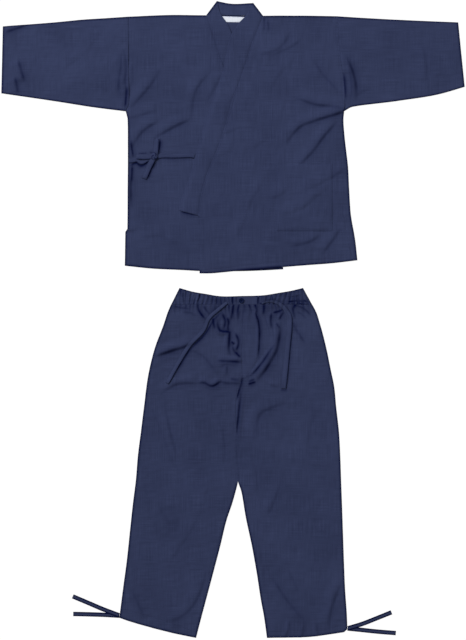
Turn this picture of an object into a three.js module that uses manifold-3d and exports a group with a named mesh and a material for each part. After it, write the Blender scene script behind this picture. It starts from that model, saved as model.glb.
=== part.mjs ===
// Samue: a Japanese two-piece work suit of navy cotton, a wrapped and tied jacket above drawstring
// trousers, both laid flat on a table with their fronts up.
// Millimetres. X runs across the suit, Y up it from trouser hem to collar, Z up from the table.
// The origin is on the table, in the middle of the suit's plan. "Right" and "left" are the wearer's.

import * as THREE from 'three';
import { mergeVertices } from 'three/addons/utils/BufferGeometryUtils.js';
import Module from 'manifold-3d';

const wasm = await Module();
wasm.setup();

// ---- Driving dimensions ------------------------------------------------------------------------

const CLOTH = 1.2; // one layer of the woven cotton
const GAP = 0.3; // between pieces that are sewn or that lie on each other
const BAND = 2.4; // the collar, a strip folded double
const TIE = 1.6; // a tie, a narrow strip sewn double
const LABEL = 0.6; // the blank woven label inside the neck
const WAIST_WALL = 1.8; // the waistband, doubled over its elastic
const SLEEVE_HOLLOW = 0.6; // between the two layers of a flattened sleeve
const BUTTON = { radius: 7.5, thickness: 3, rim: 1.6, hole: 1, holeRing: 2 };

const TIE_WIDTH = 14;
const HEM_TIE_WIDTH = 13;

// Heights above the table at which the layers lie
const FRONT_LEVEL = CLOTH + GAP;
const UNDER_COLLAR_NECK = BAND + GAP;
const WAIST_HOLLOW = 0.6;
const WAIST_TOP = 2 * WAIST_WALL + WAIST_HOLLOW;
const GATHER_HEIGHT = 2.2;
const GATHER_PITCH = 12.5;
const WAIST_SEAM = 43.7; // height of the seam between the waistband and the legs
const WAIST_RISE = WAIST_TOP + GATHER_HEIGHT - FRONT_LEVEL - CLOTH; // a drawstring's, over the band

// How finely the solids follow the folds
const SIMPLIFY = 0.14;
const lattice = (x0, x1, nx, y0, y1, ny) => ({
  xs: Array.from({ length: nx + 1 }, (_, i) => x0 + ((x1 - x0) * i) / nx),
  ys: Array.from({ length: ny + 1 }, (_, j) => y0 + ((y1 - y0) * j) / ny),
});
const JACKET_GRID = lattice(-720, 720, 120, 108, 948, 70);
const TROUSER_GRID = lattice(-480, 488, 121, -945, 60, 75);
const WAIST_GRID = lattice(-190, 240, 172, 36, 100, 8);

// ---- Outlines, as [x, y] points ----------------------------------------------------------------

// Where the collar rises to cross the back of the neck, and where the wrapped front stops lying
// on the layers beneath it, as [y, x] rows
const COLLAR_RISE = { from: 713.8, to: 816 };
const WRAP_EDGE = [
  { y: 144.4, x: 195.6 }, { y: 246.6, x: 230.7 }, { y: 305, x: 230.7 }, { y: 436.4, x: 189.8 },
  { y: 553.2, x: 137.2 }, { y: 655.4, x: 93.4 }, { y: 757.6, x: 84.7 }, { y: 886.1, x: 113.9 },
];
const WRAP_SLOPE = 70;
const TIE_STEP = { low: -152, high: -117 };
const KNOT_STEP = { high: 16, low: 40 };
const FORK_STEP = { high: 55, low: 95 };
const WAIST_STEP = { low: 0, high: 36 };
const FLAT_WAIST = { from: 11.7, to: 75.9 };

// Wearer's right sleeve, from armhole to cuff along each long edge
const SLEEVE_RIGHT = {
  top: [[-304.8, 883.7], [-359.2, 880.2], [-446.8, 874.4], [-505.2, 868.6], [-671.6, 855.4]],
  bottom: [[-313, 607.5], [-408.8, 619.4], [-505.2, 634.6], [-676, 659.8]],
  armhole: [[-304.8, 625]],
  outwards: -1,
};
const SLEEVE_LEFT = {
  top: [[305.7, 884.6], [429.2, 877.3], [551.9, 871.5], [657, 867.1]],
  bottom: [[324.4, 607.5], [341.6, 618], [481.8, 637.8], [604.4, 658], [676, 678.8]],
  armhole: [[326.2, 626.2], [321.5, 702.1], [312.7, 775.1]],
  outwards: 1,
};

const BACK = [
  [-304.6, 883.4], [-184, 888.1], [-77.4, 887.8], [87, 885.4], [196, 886.2], [305.4, 884.6],
  [312.4, 775.1], [321.2, 702.1], [325.9, 626.2], [324.1, 607.2], [322.2, 588.2], [324.6, 541.5],
  [329.8, 494.8],
  [338.8, 378], [343.4, 307.9], [355.4, 237.8], [361.4, 180.4],
  [195.6, 167.8], [23.4, 159], [-154.8, 159], [-312.4, 164.8],
  [-313, 255.4], [-307.2, 264.1], [-307.2, 588.2], [-312.4, 607.2], [-304.6, 624.7],
];

// The front that lies underneath, with its collar seam running down under the other front
const FRONT_RIGHT = [
  [-304.6, 883.4], [-184, 888.1], [-77.7, 887.2],
  [-24.8, 728.4], [34.7, 567.8], [84.4, 448.1], [116.5, 378], [145.7, 303.8],
  [146, 146.6], [78.8, 143], [26.3, 141.3], [-96.4, 141.5], [-146, 144.3], [-236.5, 148.7],
  [-315.4, 156.8],
  [-313.9, 255.4], [-307.8, 264.1], [-307.8, 588.2], [-312.7, 607.2], [-304.6, 624.7],
];

// The front that wraps over, closed along its straight front edge
const FRONT_LEFT = [
  [87.3, 885.1], [196, 886.2], [305.4, 884.6], [312.4, 775.1], [321.2, 702.1], [325.9, 626.2],
  [324.1, 607.2], [322.2, 588.2], [324.6, 541.5], [329.8, 494.8], [335.2, 448.1], [338.8, 378],
  [343.4, 307.9], [346.8, 284.6],
  [355.4, 237.8], [362.8, 172.9], [289.1, 164.2], [219, 158.8], [146, 153], [78.8, 147.8],
  [26.3, 143.5],
  [-26.3, 138], [-67.2, 134.6], [-97.2, 134.6], [-96.4, 299.2], [-101.9, 303.5],
  [-95.5, 351.7], [-80.9, 410.1], [-64.8, 452.5], [-45.6, 497.7], [-16.4, 588.2], [-4.7, 635],
  [18.7, 693.4], [36.2, 745.9], [50.8, 792.6],
];

// The collar, one strip: behind the neck, then folded over at each shoulder and down each front
const COLLAR_BACK = [[-77.4, 888.1], [-46.7, 929], [-8.8, 921.7], [58.4, 923.2], [87, 885.8]];
const COLLAR_OVER = [
  [58.4, 923.2], [87, 885.8], [50.5, 792.6], [35.9, 745.9], [18.4, 693.4], [-5, 635], [-16.6, 588.2],
  [-45.8, 497.7], [-65.1, 452.5], [-81.2, 410.1], [-95.8, 351.7], [-102.2, 303.8], [-158, 318.4],
  [-151.8, 345.9], [-122.6, 430.6], [-112.1, 471.4], [-70.1, 611.6], [-35, 708], [-2.9, 833.5],
  [19.6, 867.4],
  [35, 883.2], [42.3, 894], [45, 913.5],
];
const COLLAR_UNDER = [
  [-46.7, 929], [-36.2, 891.9], [-19.3, 867.4], [29.2, 748.8], [90.5, 591.2], [140.2, 471.4],
  [169.4, 398.4],
  [201.5, 319.6], [146, 303.8], [116.8, 378], [84.7, 448.1], [35, 567.8], [-24.5, 728.4], [-77.4, 888.1],
];
const COLLAR_FOLD_OVER = [[58.4, 923.2], [87, 885.8], [83.2, 885.9], [55.2, 923]];
const COLLAR_FOLD_UNDER = [[-46.7, 929], [-77.4, 888.1], [-73, 888], [-42.6, 928.1]];

const POCKET = [[125.6, 452.7], [289.1, 453.9], [290.2, 258.3], [126.7, 258.3]];
const NECK_LABEL = [[-39.4, 885.5], [40.9, 882.6], [40.9, 866.8], [-39.4, 868]];

// Centre lines of the jacket's ties, and of the bow they are tied in
const FRONT_TIE = [
  [-111.3, 476.4], [-119.5, 478.9], [-134, 479.4], [-152, 478.6], [-176, 478.3], [-196, 478.6],
  [-213, 477.4], [-224.8, 474.4],
];
const SIDE_TIE = [
  [-304.8, 463.6], [-292, 464.2], [-280.5, 467], [-268.8, 459.4], [-252, 466.4], [-234, 476.6],
];
const BOW_LOOP = [[-233.6, 476.7], [-257, 474.4], [-281.8, 475.5]];
const BOW_TAIL_UP = [[-226, 480.2], [-224.8, 503.6], [-223.7, 526.9]];
const BOW_TAIL_DOWN = [[-231.5, 471.4], [-246.5, 442], [-259.5, 410.4]];
const KNOT = { at: [-228.9, 475.5], across: 9, along: 11, height: 6 };
const BUTTON_AT = [24.8, 55.3];

const WAISTBAND = {
  top: [
    [-156.2, 91.8], [-113.9, 80.2], [-78.8, 74.3], [-43.8, 68.5], [26.3, 68.5], [96.4, 71.4],
    [131.4, 77.2], [166.4, 83.1], [204.4, 91.8],
  ],
  bottom: [[-180.4, 43.7], [230.8, 43.7]],
};

const LEG_RIGHT = [
  [-180.4, 43.4], [22.2, 43.4], [22.2, -176.8], [10.8, -229.4], [10.8, -352], [14.3, -473.2],
  [8.4, -498], [-3.2, -538.9], [-17.2, -579.8], [-37.6, -661.5], [-59, -743.3], [-79.2, -819.2],
  [-90.2, -860.1],
  [-108, -929], [-165.6, -917.4], [-212.6, -906], [-311, -878], [-331.4, -870.4],
  [-321.2, -790], [-309.5, -702.4], [-300.8, -620.6], [-292, -538.9], [-283.2, -468.8],
  [-277.4, -398.7], [-268.6, -328.6], [-259.9, -258.6], [-245.3, -153.4], [-227.8, -83.4],
  [-201.5, -13.3], [-189.8, 21.8],
];
const LEG_LEFT = [
  [22.5, 43.4], [230.8, 43.4], [242.2, 21.8], [253.7, -13.3], [272, -83.4], [286.4, -153.4],
  [293.8, -188.5],
  [301.2, -258.6], [309, -328.6], [312.8, -398.7], [315.2, -468.8], [317.8, -538.9], [320.6, -620.6],
  [323.4, -702.4],
  [327, -790], [332.2, -865.9], [333.4, -903.4], [324, -912.4], [274.5, -919.9], [227.8, -925.8],
  [99.3, -929], [90.5, -865.9],
  [81.8, -819.2], [70.1, -743.3], [55.5, -661.5], [38, -579.8], [23.4, -498], [14.9, -473.2],
  [11.1, -352],
  [11.1, -229.4], [22.5, -176.8],
];

const HEM_TIES = [
  {
    name: 'hem_tie_right_lower',
    lap: 0,
    line: [[-331.5, -865], [-376.7, -862.4], [-417.6, -861], [-466.6, -859.8]],
  },
  {
    name: 'hem_tie_right_upper',
    lap: 1,
    line: [[-332.4, -863.2], [-376.7, -846.6], [-417.6, -829.6], [-467.8, -808.4]],
  },
  {
    name: 'hem_tie_left_lower',
    lap: 0,
    line: [[334.3, -902.3], [370.8, -906], [423.4, -911.5], [475.4, -915.6]],
  },
  {
    name: 'hem_tie_left_upper',
    lap: 1,
    line: [[335.4, -901.2], [373.8, -889.6], [417.6, -873], [462.8, -855]],
  },
];
const DRAWSTRINGS = [
  {
    name: 'drawstring_right',
    width: 11,
    leg: 'right',
    line: [
      [-17.5, 49.5], [-40.9, 30.5], [-71.2, 2.8], [-84.7, -27.9], [-125.6, -73.1], [-154.8, -118.4],
      [-192.7, -186.4],
    ],
  },
  {
    name: 'drawstring_left',
    width: 15,
    leg: 'left',
    line: [
      [83.2, 48], [108, 52.1], [132.5, 46.9], [150, 31], [159, 12], [160.5, -19], [157.5, -68.8],
      [152.5, -138.8], [147, -202],
    ],
  },
];

// ---- Folds: a soft ridge beside each crease line, on its left (side 1) or right (side -1) -----------

const fold = (piece, height, width, side, line) => ({ piece, height, width, side, line });
const FOLDS = [
  fold('sleeve_right', 5, 26, -1, [[-321.2, 786.8], [-312.4, 751.8], [-315.4, 626.2]]),
  fold('sleeve_right', 4, 24, -1, [[-619, 757.6], [-613.2, 716.7], [-595.7, 687.5]]),
  fold('sleeve_left', 5, 26, -1, [[330, 760.5], [352.2, 703.3], [362.1, 661.2], [356.2, 630.3]]),
  fold('sleeve_left', 3, 28, -1, [[556.8, 801.4], [560.6, 693.4]]),
  fold('front_right', 3.5, 28, -1, [[-213.2, 734.2], [-248.2, 672.9], [-300.8, 614.5]]),
  fold('front_right', 4, 24, 1, [[-302.2, 591.2], [-227.8, 604.3]]),
  fold('front_right', 4.5, 28, 1, [[-289.1, 509.4], [-262.8, 553.2], [-210.2, 582.4]]),
  fold('front_right', 4.5, 28, 1, [
    [-221.9, 535.7], [-163.5, 567.8], [-128.5, 585.3], [-116.8, 629.1], [-102.2, 678.8],
    [-64.2, 719.6],
  ]),
  fold('front_left', 3.5, 30, 1, [[90.5, 776.3], [137.2, 792.6], [166.4, 842.3]]),
  fold('front_left', 3, 30, -1, [[221.9, 766.4], [257, 713.8], [309.5, 661.2]]),
  fold('front_left', 6, 26, 1, [[175.2, 646.6], [232.1, 626.2], [324.1, 615.7]]),
  fold('front_left', 8, 32, -1, [[324.1, 606.9], [254, 585.3], [195.6, 562], [159.1, 515.2]]),
  fold('front_left', 6, 30, -1, [[308.1, 576.6], [262.8, 531.3], [232.1, 489], [189.8, 445.2]]),
  fold('front_left', 4.5, 30, -1, [[327, 436.4], [262.8, 401.4], [204.4, 372.2]]),
  fold('front_left', 3.5, 28, -1, [[283.2, 392.6], [236.5, 354.6], [189.8, 316.7], [122.6, 305]]),
  fold('front_left', 3, 34, -1, [
    [113.9, 459.8], [81.8, 389.7], [49.6, 337.1], [29.2, 275.8], [-8.8, 202.8],
  ]),
  fold('front_left', 3, 26, 1, [[172.3, 214.5], [242.4, 237.8]]),
  fold('front_left', 3, 26, -1, [[309.5, 255.4], [265.7, 199.9]]),
  fold('leg_right', 7, 26, 1, [[-230.7, -115.5], [-201.5, -95], [-131.4, -79.3]]),
  fold('leg_right', 4, 22, 1, [[-125.6, -85.1], [-79.7, -108.2], [-52.6, -135.9]]),
  fold('leg_right', 6, 26, 1, [
    [-213.2, -214.8], [-154.8, -191.4], [-79.7, -182.6], [-33.3, -182.6], [11.7, -187.3],
  ]),
  fold('leg_right', 5, 20, 1, [[-46.7, -127.2], [20.4, -122.2]]),
  fold('leg_right', 5, 16, -1, [[-33.3, 15.9], [-23.4, -30.8], [-12.3, -109.6]]),
  fold('leg_right', 5, 14, -1, [[0, 30.5], [5.8, -30.8], [4.7, -109.6]]),
  fold('leg_right', 3, 24, -1, [[-42.6, -281.9], [-28.6, -350.3], [-28.6, -427.9]]),
  fold('leg_right', 3.5, 26, -1, [[-198.6, -258.6], [-179.9, -346.2], [-160.6, -404.6]]),
  fold('leg_right', 3.5, 16, -1, [[-108, 39.3], [-99.3, 24.7], [-77.4, 1.3]]),
  fold('leg_right', 3, 16, 1, [[-172.9, 34.9], [-131.4, 18.8]]),
  fold('leg_right', 4, 26, -1, [[-75.9, -728.7], [-97.8, -801.7], [-137.2, -860.1], [-189.8, -883.4]]),
  fold('leg_left', 8, 24, -1, [[143.1, -22], [131.4, -85.1], [73.9, -187.3], [46.7, -214.8]]),
  fold('leg_left', 6, 24, 1, [
    [27.2, -182.6], [16.4, -229.4], [13.1, -303.8], [14.6, -387], [17.5, -465.9],
  ]),
  fold('leg_left', 4, 26, -1, [[150.4, -241], [111, -257.4], [73.9, -280.5], [71, -334.5]]),
  fold('leg_left', 4, 20, -1, [[175.2, -4.5], [199.4, -47.7], [207.3, -86.3]]),
  fold('leg_left', 4, 30, -1, [[106.6, -746.2], [153.9, -816.9], [183.1, -850.7], [216.1, -889.3]]),
  fold('leg_left', 3, 24, -1, [[315.4, -766.6], [289.1, -836.7], [279.2, -901]]),
];

// Gathers that run down from the waist seam: where, how far, and how high
const GATHERS = {
  right: { from: -160.6, to: -5.8, count: 9, piece: 'leg_right' },
  left: { from: 87.6, to: 213.2, count: 7, piece: 'leg_left' },
};

// ---- Heights of the layers ---------------------------------------------------------------------

const smooth = (from, to, value) => THREE.MathUtils.smoothstep(value, from, to);

/** The crest of a fold: its crease line moved sideways by half the fold's width. */
function crestLine({ line, side, width }) {
  return line.map(([x, y], i) => {
    const [ax, ay] = line[Math.max(i - 1, 0)];
    const [bx, by] = line[Math.min(i + 1, line.length - 1)];
    const reach = (side * width) / 2 / Math.hypot(bx - ax, by - ay);
    return [x - (by - ay) * reach, y + (bx - ax) * reach];
  });
}

/** The distance from a point to a line of points, and how far along the line its nearest point is. */
function nearest(line, x, y) {
  let found = { distance: Infinity, along: 0 };
  let run = 0;
  for (let i = 0; i + 1 < line.length; i++) {
    const [ax, ay] = line[i];
    const dx = line[i + 1][0] - ax;
    const dy = line[i + 1][1] - ay;
    const length = Math.hypot(dx, dy);
    const t = THREE.MathUtils.clamp(((x - ax) * dx + (y - ay) * dy) / length ** 2, 0, 1);
    const distance = Math.hypot(x - ax - t * dx, y - ay - t * dy);
    if (distance < found.distance) found = { distance, along: run + t * length };
    run += length;
  }
  return { ...found, length: run };
}

/** Short gathers that hang from the waist seam, uneven in length and height. */
function gathers({ from, to, count, piece }) {
  return Array.from({ length: count }, (_, i) => {
    const x = from + ((to - from) * (i + 0.2 * Math.sin(5 * i))) / (count - 1);
    const end = WAIST_SEAM - 24 - 9 * ((i * 5) % 4);
    return fold(piece, 1.8 + 0.3 * ((i * 7) % 4), 17, 1, [[x, WAIST_SEAM], [x + 0.06 * (x - 5), end]]);
  });
}

const CRESTS = [...FOLDS, ...Object.values(GATHERS).flatMap(gathers)].map((row) => ({
  ...row,
  crest: crestLine(row),
}));

/** How high the folds of a piece lift it at a point. */
function lift(piece, x, y) {
  let height = 0;
  for (const row of CRESTS) {
    if (row.piece !== piece) continue;
    const { distance, along, length } = nearest(row.crest, x, y);
    if (distance >= row.width / 2) continue;
    const ends = Math.min(1, 0.4 + (4 * Math.min(along, length - along)) / length);
    const ridge = row.height * ends * 0.5 * (1 + Math.cos((2 * Math.PI * distance) / row.width));
    height = Math.max(height, ridge);
  }
  return height;
}

/** The x of the wrap's hidden edge at a height y, between the rows of WRAP_EDGE. */
function wrapEdge(y) {
  const next = WRAP_EDGE.findIndex((row) => row.y >= y);
  if (next === 0) return WRAP_EDGE[0].x;
  if (next < 0) return WRAP_EDGE.at(-1).x;
  const [a, b] = [WRAP_EDGE[next - 1], WRAP_EDGE[next]];
  return THREE.MathUtils.mapLinear(y, a.y, b.y, a.x, b.x);
}

const underCollar = (x, y) =>
  FRONT_LEVEL + (UNDER_COLLAR_NECK - FRONT_LEVEL) * smooth(COLLAR_RISE.from, COLLAR_RISE.to, y);
const overCollar = (x, y) => underCollar(x, y) + BAND + GAP;
const rightFront = (x, y) => FRONT_LEVEL + lift('front_right', x, y);
const leftFront = (x, y) => {
  const wrapped = 1 - smooth(wrapEdge(y), wrapEdge(y) + WRAP_SLOPE, x);
  return FRONT_LEVEL + (overCollar(x, y) - FRONT_LEVEL) * wrapped + lift('front_left', x, y);
};
const legFront = (side) => (x, y) => FRONT_LEVEL + lift(`leg_${side}`, x, y);
const table = () => 0;

/** A layer that lies on another one of the given thickness. */
const onto = (layer, thickness) => (x, y) => layer(x, y) + thickness + GAP;

/** The bottom of the front tie, which comes down from the collar's edge to the front beneath it. */
const frontTie = (x, y) => {
  const onFront = onto(rightFront, CLOTH)(x, y);
  const atEdge = Math.max(onFront, overCollar(x, y) + (BAND - TIE) / 2);
  return THREE.MathUtils.lerp(onFront, atEdge, smooth(TIE_STEP.low, TIE_STEP.high, x));
};
const bow = (x, y) => {
  const nearKnot = 1 - smooth(KNOT_STEP.high, KNOT_STEP.low, Math.abs(y - KNOT.at[1]));
  return onto(rightFront, CLOTH)(x, y) + (TIE + GAP) * nearKnot;
};
const drawstring = (side) => (x, y) =>
  onto(legFront(side), CLOTH)(x, y) + WAIST_RISE * smooth(WAIST_STEP.low, WAIST_STEP.high, y);

/** The gathers of the waistband, flat where its overlap is buttoned. */
function waistGather(x) {
  const { from, to } = FLAT_WAIST;
  const away = Math.max(from - x, x - to, 0);
  const wave = Math.sin(Math.PI * (x / GATHER_PITCH + 0.3 * Math.sin(x / 41))) ** 2;
  return GATHER_HEIGHT * smooth(0, GATHER_PITCH, away) * wave * (0.7 + 0.3 * Math.sin(x / 17));
}

// ---- Solids ------------------------------------------------------------------------------------

/** A closed geometry as a solid that can be joined and cut. */
function solid(geometry) {
  const bare = new THREE.BufferGeometry();
  bare.setAttribute('position', geometry.getAttribute('position'));
  if (geometry.index) bare.setIndex(geometry.index);
  const merged = mergeVertices(bare, 1e-4);
  return new wasm.Manifold(
    new wasm.Mesh({
      numProp: 3,
      vertProperties: Float32Array.from(merged.getAttribute('position').array),
      triVerts: Uint32Array.from(merged.index.array),
    }),
  );
}

/** A solid as a three.js mesh. */
function mesh(name, body, material) {
  const { vertProperties, triVerts } = body.simplify(SIMPLIFY).getMesh();
  const indexed = new THREE.BufferGeometry();
  indexed.setAttribute('position', new THREE.BufferAttribute(vertProperties, 3));
  indexed.setIndex(new THREE.BufferAttribute(triVerts, 1));
  const geometry = indexed.toNonIndexed();
  geometry.computeVertexNormals();
  const piece = new THREE.Mesh(geometry, material);
  piece.name = name;
  return piece;
}

/** An upright prism over an outline, taller than every layer. */
function prism(outline) {
  const shape = new THREE.Shape(outline.map(([x, y]) => new THREE.Vector2(x, y)));
  const geometry = new THREE.ExtrudeGeometry(shape, { depth: 80, bevelEnabled: false });
  geometry.translate(0, 0, -20);
  return solid(geometry);
}

/** The part of the cloth between two height functions, on the rows and columns of a grid. */
function block({ xs, ys }, bottom, top) {
  const columns = ys.length;
  const count = xs.length * columns;
  const positions = new Float32Array(count * 6);
  xs.forEach((x, i) =>
    ys.forEach((y, j) => {
      const k = i * columns + j;
      positions.set([x, y, bottom(x, y)], 3 * k);
      positions.set([x, y, top(x, y)], 3 * (count + k));
    }),
  );
  const faces = [];
  const quad = (a, b, c, d) => faces.push(a, b, c, a, c, d);
  for (let i = 0; i + 1 < xs.length; i++) {
    for (let j = 0; j + 1 < columns; j++) {
      const a = i * columns + j;
      const b = a + columns;
      const c = b + 1;
      const d = a + 1;
      quad(count + a, count + b, count + c, count + d);
      faces.push(a, c, b, a, d, c);
    }
  }
  const rim = [
    ...xs.map((_, i) => i * columns),
    ...ys.slice(1).map((_, j) => (xs.length - 1) * columns + j + 1),
    ...xs.slice(1).map((_, i) => (xs.length - 2 - i) * columns + columns - 1),
    ...ys.slice(1, -1).map((_, j) => columns - 2 - j),
  ];
  rim.forEach((a, i) => {
    const b = rim[(i + 1) % rim.length];
    quad(a, b, count + b, count + a);
  });
  const geometry = new THREE.BufferGeometry();
  geometry.setAttribute('position', new THREE.BufferAttribute(positions, 3));
  geometry.setIndex(faces);
  return solid(geometry);
}

/** The rows and columns of a grid that an outline reaches. */
function within(grid, outline) {
  const clip = (values, axis) => {
    const reach = outline.map((point) => point[axis]);
    const first = values.findLastIndex((value) => value < Math.min(...reach));
    const last = values.findIndex((value) => value > Math.max(...reach));
    return values.slice(first, last + 1);
  };
  return { xs: clip(grid.xs, 0), ys: clip(grid.ys, 1) };
}

/** Cloth cut to an outline: its underside on a height function, its thickness above that. */
const cut = (grid, outline, bottom, thickness) =>
  block(within(grid, outline), bottom, (x, y) => bottom(x, y) + thickness).intersect(prism(outline));

/** The outline of a strip of one width along a smooth centre line. */
function strip(line, width, steps = 4) {
  const curve = new THREE.CatmullRomCurve3(line.map(([x, y]) => new THREE.Vector3(x, y, 0)));
  const edges = [[], []];
  const count = steps * (line.length - 1);
  for (let i = 0; i <= count; i++) {
    const at = curve.getPoint(i / count);
    const along = curve.getTangent(i / count);
    edges[0].push([at.x - (along.y * width) / 2, at.y + (along.x * width) / 2]);
    edges[1].unshift([at.x + (along.y * width) / 2, at.y - (along.x * width) / 2]);
  }
  return edges.flat();
}

/** A sleeve: a flattened tube, open at the armhole and the cuff. */
function sleeve(name, { top, bottom, armhole, outwards }) {
  const layers = 2 * CLOTH + SLEEVE_HOLLOW;
  const outline = [...top, ...bottom.toReversed(), ...armhole];
  const past = 30 * outwards;
  const inset = (edge, down) => {
    const moved = edge.map(([x, y]) => [x, y - down]);
    const first = [moved[0][0] - past, moved[0][1]];
    const last = [moved.at(-1)[0] + past, moved.at(-1)[1]];
    return [first, ...moved, last];
  };
  const hollow = [...inset(top, CLOTH), ...inset(bottom, -CLOTH).toReversed()];
  const upper = (x, y) => layers + lift(name, x, y);
  const whole = block(within(JACKET_GRID, outline), table, upper).intersect(prism(outline));
  const inside = block(within(JACKET_GRID, hollow), () => CLOTH, (x, y) => upper(x, y) - CLOTH);
  return mesh(name, whole.subtract(inside.intersect(prism(hollow))), cotton);
}

/** The waistband: a gathered ring, flattened, open at the top and at its seam to the legs. */
function waistband() {
  const { top, bottom } = WAISTBAND;
  const outline = [...bottom, ...top.toReversed()];
  const past = 3;
  const side = ([bx, by], [tx, ty], inwards) => [
    [bx - (tx - bx) * past + inwards, by - (ty - by) * past],
    [tx + (tx - bx) * past + inwards, ty + (ty - by) * past],
  ];
  const left = side(bottom[0], top[0], WAIST_WALL);
  const right = side(bottom[1], top.at(-1), -WAIST_WALL);
  const hollow = [left[0], right[0], right[1], left[1]];
  const upper = (x) => WAIST_TOP + waistGather(x);
  const whole = block(WAIST_GRID, table, upper).intersect(prism(outline));
  const inside = block(WAIST_GRID, () => WAIST_WALL, (x) => upper(x) - WAIST_WALL);
  return mesh('waistband', whole.subtract(inside.intersect(prism(hollow))), cotton);
}

/** The collar: behind the neck, folded over at each shoulder, and down each front. */
function collar() {
  const roll = (outline, top) =>
    block(within(JACKET_GRID, outline), table, top).intersect(prism(outline));
  const body = cut(JACKET_GRID, COLLAR_BACK, table, BAND)
    .add(cut(JACKET_GRID, COLLAR_OVER, overCollar, BAND))
    .add(cut(JACKET_GRID, COLLAR_UNDER, underCollar, BAND))
    .add(roll(COLLAR_FOLD_OVER, (x, y) => overCollar(x, y) + BAND))
    .add(roll(COLLAR_FOLD_UNDER, (x, y) => underCollar(x, y) + BAND));
  return mesh('collar', body, cotton);
}

/** The knot's rounded top with the bow's loop and two tails under it. */
function tieBow() {
  const sides = 5;
  const profile = Array.from({ length: sides + 1 }, (_, i) => {
    const angle = (Math.PI / 2) * (i / sides);
    return new THREE.Vector2(Math.cos(angle), Math.sin(angle));
  });
  const dome = new THREE.LatheGeometry([new THREE.Vector2(0, 0), ...profile], 16);
  dome.rotateX(Math.PI / 2);
  dome.scale(KNOT.across, KNOT.along, KNOT.height);
  dome.translate(...KNOT.at, bow(...KNOT.at));
  const tails = [BOW_LOOP, BOW_TAIL_UP, BOW_TAIL_DOWN].map((line) =>
    cut(JACKET_GRID, strip(line, TIE_WIDTH + 3), bow, TIE),
  );
  return mesh('tie_bow', tails.reduce((body, tail) => body.add(tail), solid(dome)), cotton);
}

/** The waist button, with a raised rim and four holes. */
function waistButton() {
  const { radius, thickness, rim, hole, holeRing } = BUTTON;
  const profile = [
    [0, 0], [radius - 1, 0], [radius, 1], [radius, thickness - 0.6], [radius - 0.6, thickness],
    [radius - rim, thickness], [radius - rim - 0.8, thickness - 0.9], [0, thickness - 0.9],
  ];
  const disc = new THREE.LatheGeometry(profile.map(([r, z]) => new THREE.Vector2(r, z)), 24);
  disc.rotateX(Math.PI / 2);
  let body = solid(disc);
  for (let i = 0; i < 4; i++) {
    const angle = Math.PI / 4 + (i * Math.PI) / 2;
    const drill = new THREE.CylinderGeometry(hole, hole, 4 * thickness, 6);
    drill.rotateX(Math.PI / 2);
    drill.translate(holeRing * Math.cos(angle), holeRing * Math.sin(angle), 0);
    body = body.subtract(solid(drill));
  }
  const piece = mesh('waist_button', body, horn);
  piece.position.set(...BUTTON_AT, WAIST_TOP + GAP);
  return piece;
}

// ---- Materials ---------------------------------------------------------------------------------

const cotton = new THREE.MeshStandardMaterial({ color: 0x2c3350, roughness: 0.9, metalness: 0 });
const horn = new THREE.MeshStandardMaterial({ color: 0x15171f, roughness: 0.45, metalness: 0 });
const white = new THREE.MeshStandardMaterial({ color: 0xefeeea, roughness: 0.7, metalness: 0 });

// ---- The suit ----------------------------------------------------------------------------------

const samue = new THREE.Group();
const jacket = new THREE.Group();
const trousers = new THREE.Group();
samue.add(jacket, trousers);

jacket.add(
  mesh('jacket_back', cut(JACKET_GRID, BACK, table, CLOTH), cotton),
  mesh('jacket_front_right', cut(JACKET_GRID, FRONT_RIGHT, rightFront, CLOTH), cotton),
  mesh('jacket_front_left', cut(JACKET_GRID, FRONT_LEFT, leftFront, CLOTH), cotton),
  sleeve('sleeve_right', SLEEVE_RIGHT),
  sleeve('sleeve_left', SLEEVE_LEFT),
  collar(),
  mesh('patch_pocket', cut(JACKET_GRID, POCKET, onto(leftFront, CLOTH), CLOTH), cotton),
  mesh('neck_label', cut(JACKET_GRID, NECK_LABEL, onto(table, CLOTH), LABEL), white),
  mesh('front_tie', cut(JACKET_GRID, strip(FRONT_TIE, TIE_WIDTH), frontTie, TIE), cotton),
  mesh('side_tie', cut(JACKET_GRID, strip(SIDE_TIE, TIE_WIDTH), onto(rightFront, CLOTH), TIE), cotton),
  tieBow(),
);

for (const [side, outline] of Object.entries({ right: LEG_RIGHT, left: LEG_LEFT })) {
  trousers.add(
    mesh(`trouser_back_${side}`, cut(TROUSER_GRID, outline, table, CLOTH), cotton),
    mesh(`trouser_front_${side}`, cut(TROUSER_GRID, outline, legFront(side), CLOTH), cotton),
  );
}
trousers.add(waistband(), waistButton());
for (const { name, width, leg, line } of DRAWSTRINGS) {
  trousers.add(mesh(name, cut(TROUSER_GRID, strip(line, width), drawstring(leg), TIE), cotton));
}
for (const { name, line, lap } of HEM_TIES) {
  const root = line[0][0];
  const apart = (x) => smooth(FORK_STEP.high, FORK_STEP.low, Math.abs(x - root));
  const bottom = (x) => lap * (TIE + GAP) * (1 - apart(x));
  trousers.add(mesh(name, cut(TROUSER_GRID, strip(line, HEM_TIE_WIDTH), bottom, TIE), cotton));
}

export default samue;
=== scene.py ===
"""A samue laid flat: the looks of a wrapped work jacket and its drawstring trousers, in navy cotton.

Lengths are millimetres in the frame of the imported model: X runs across the suit, Y from the trouser
hems up to the collar and Z up from the table. "Right" and "left" are the wearer's. Metres are used
only where Blender or the frame asks for them.
"""

from __future__ import annotations

import logging
import math
from collections.abc import Callable, Sequence
from dataclasses import dataclass, field
from enum import Enum
from functools import partial

import bpy
import numpy as np
from bpy.types import Material, Node, NodeSocket, NodeTree, Object
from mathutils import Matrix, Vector
from mathutils.geometry import delaunay_2d_cdt
from mathutils.kdtree import KDTree

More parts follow.
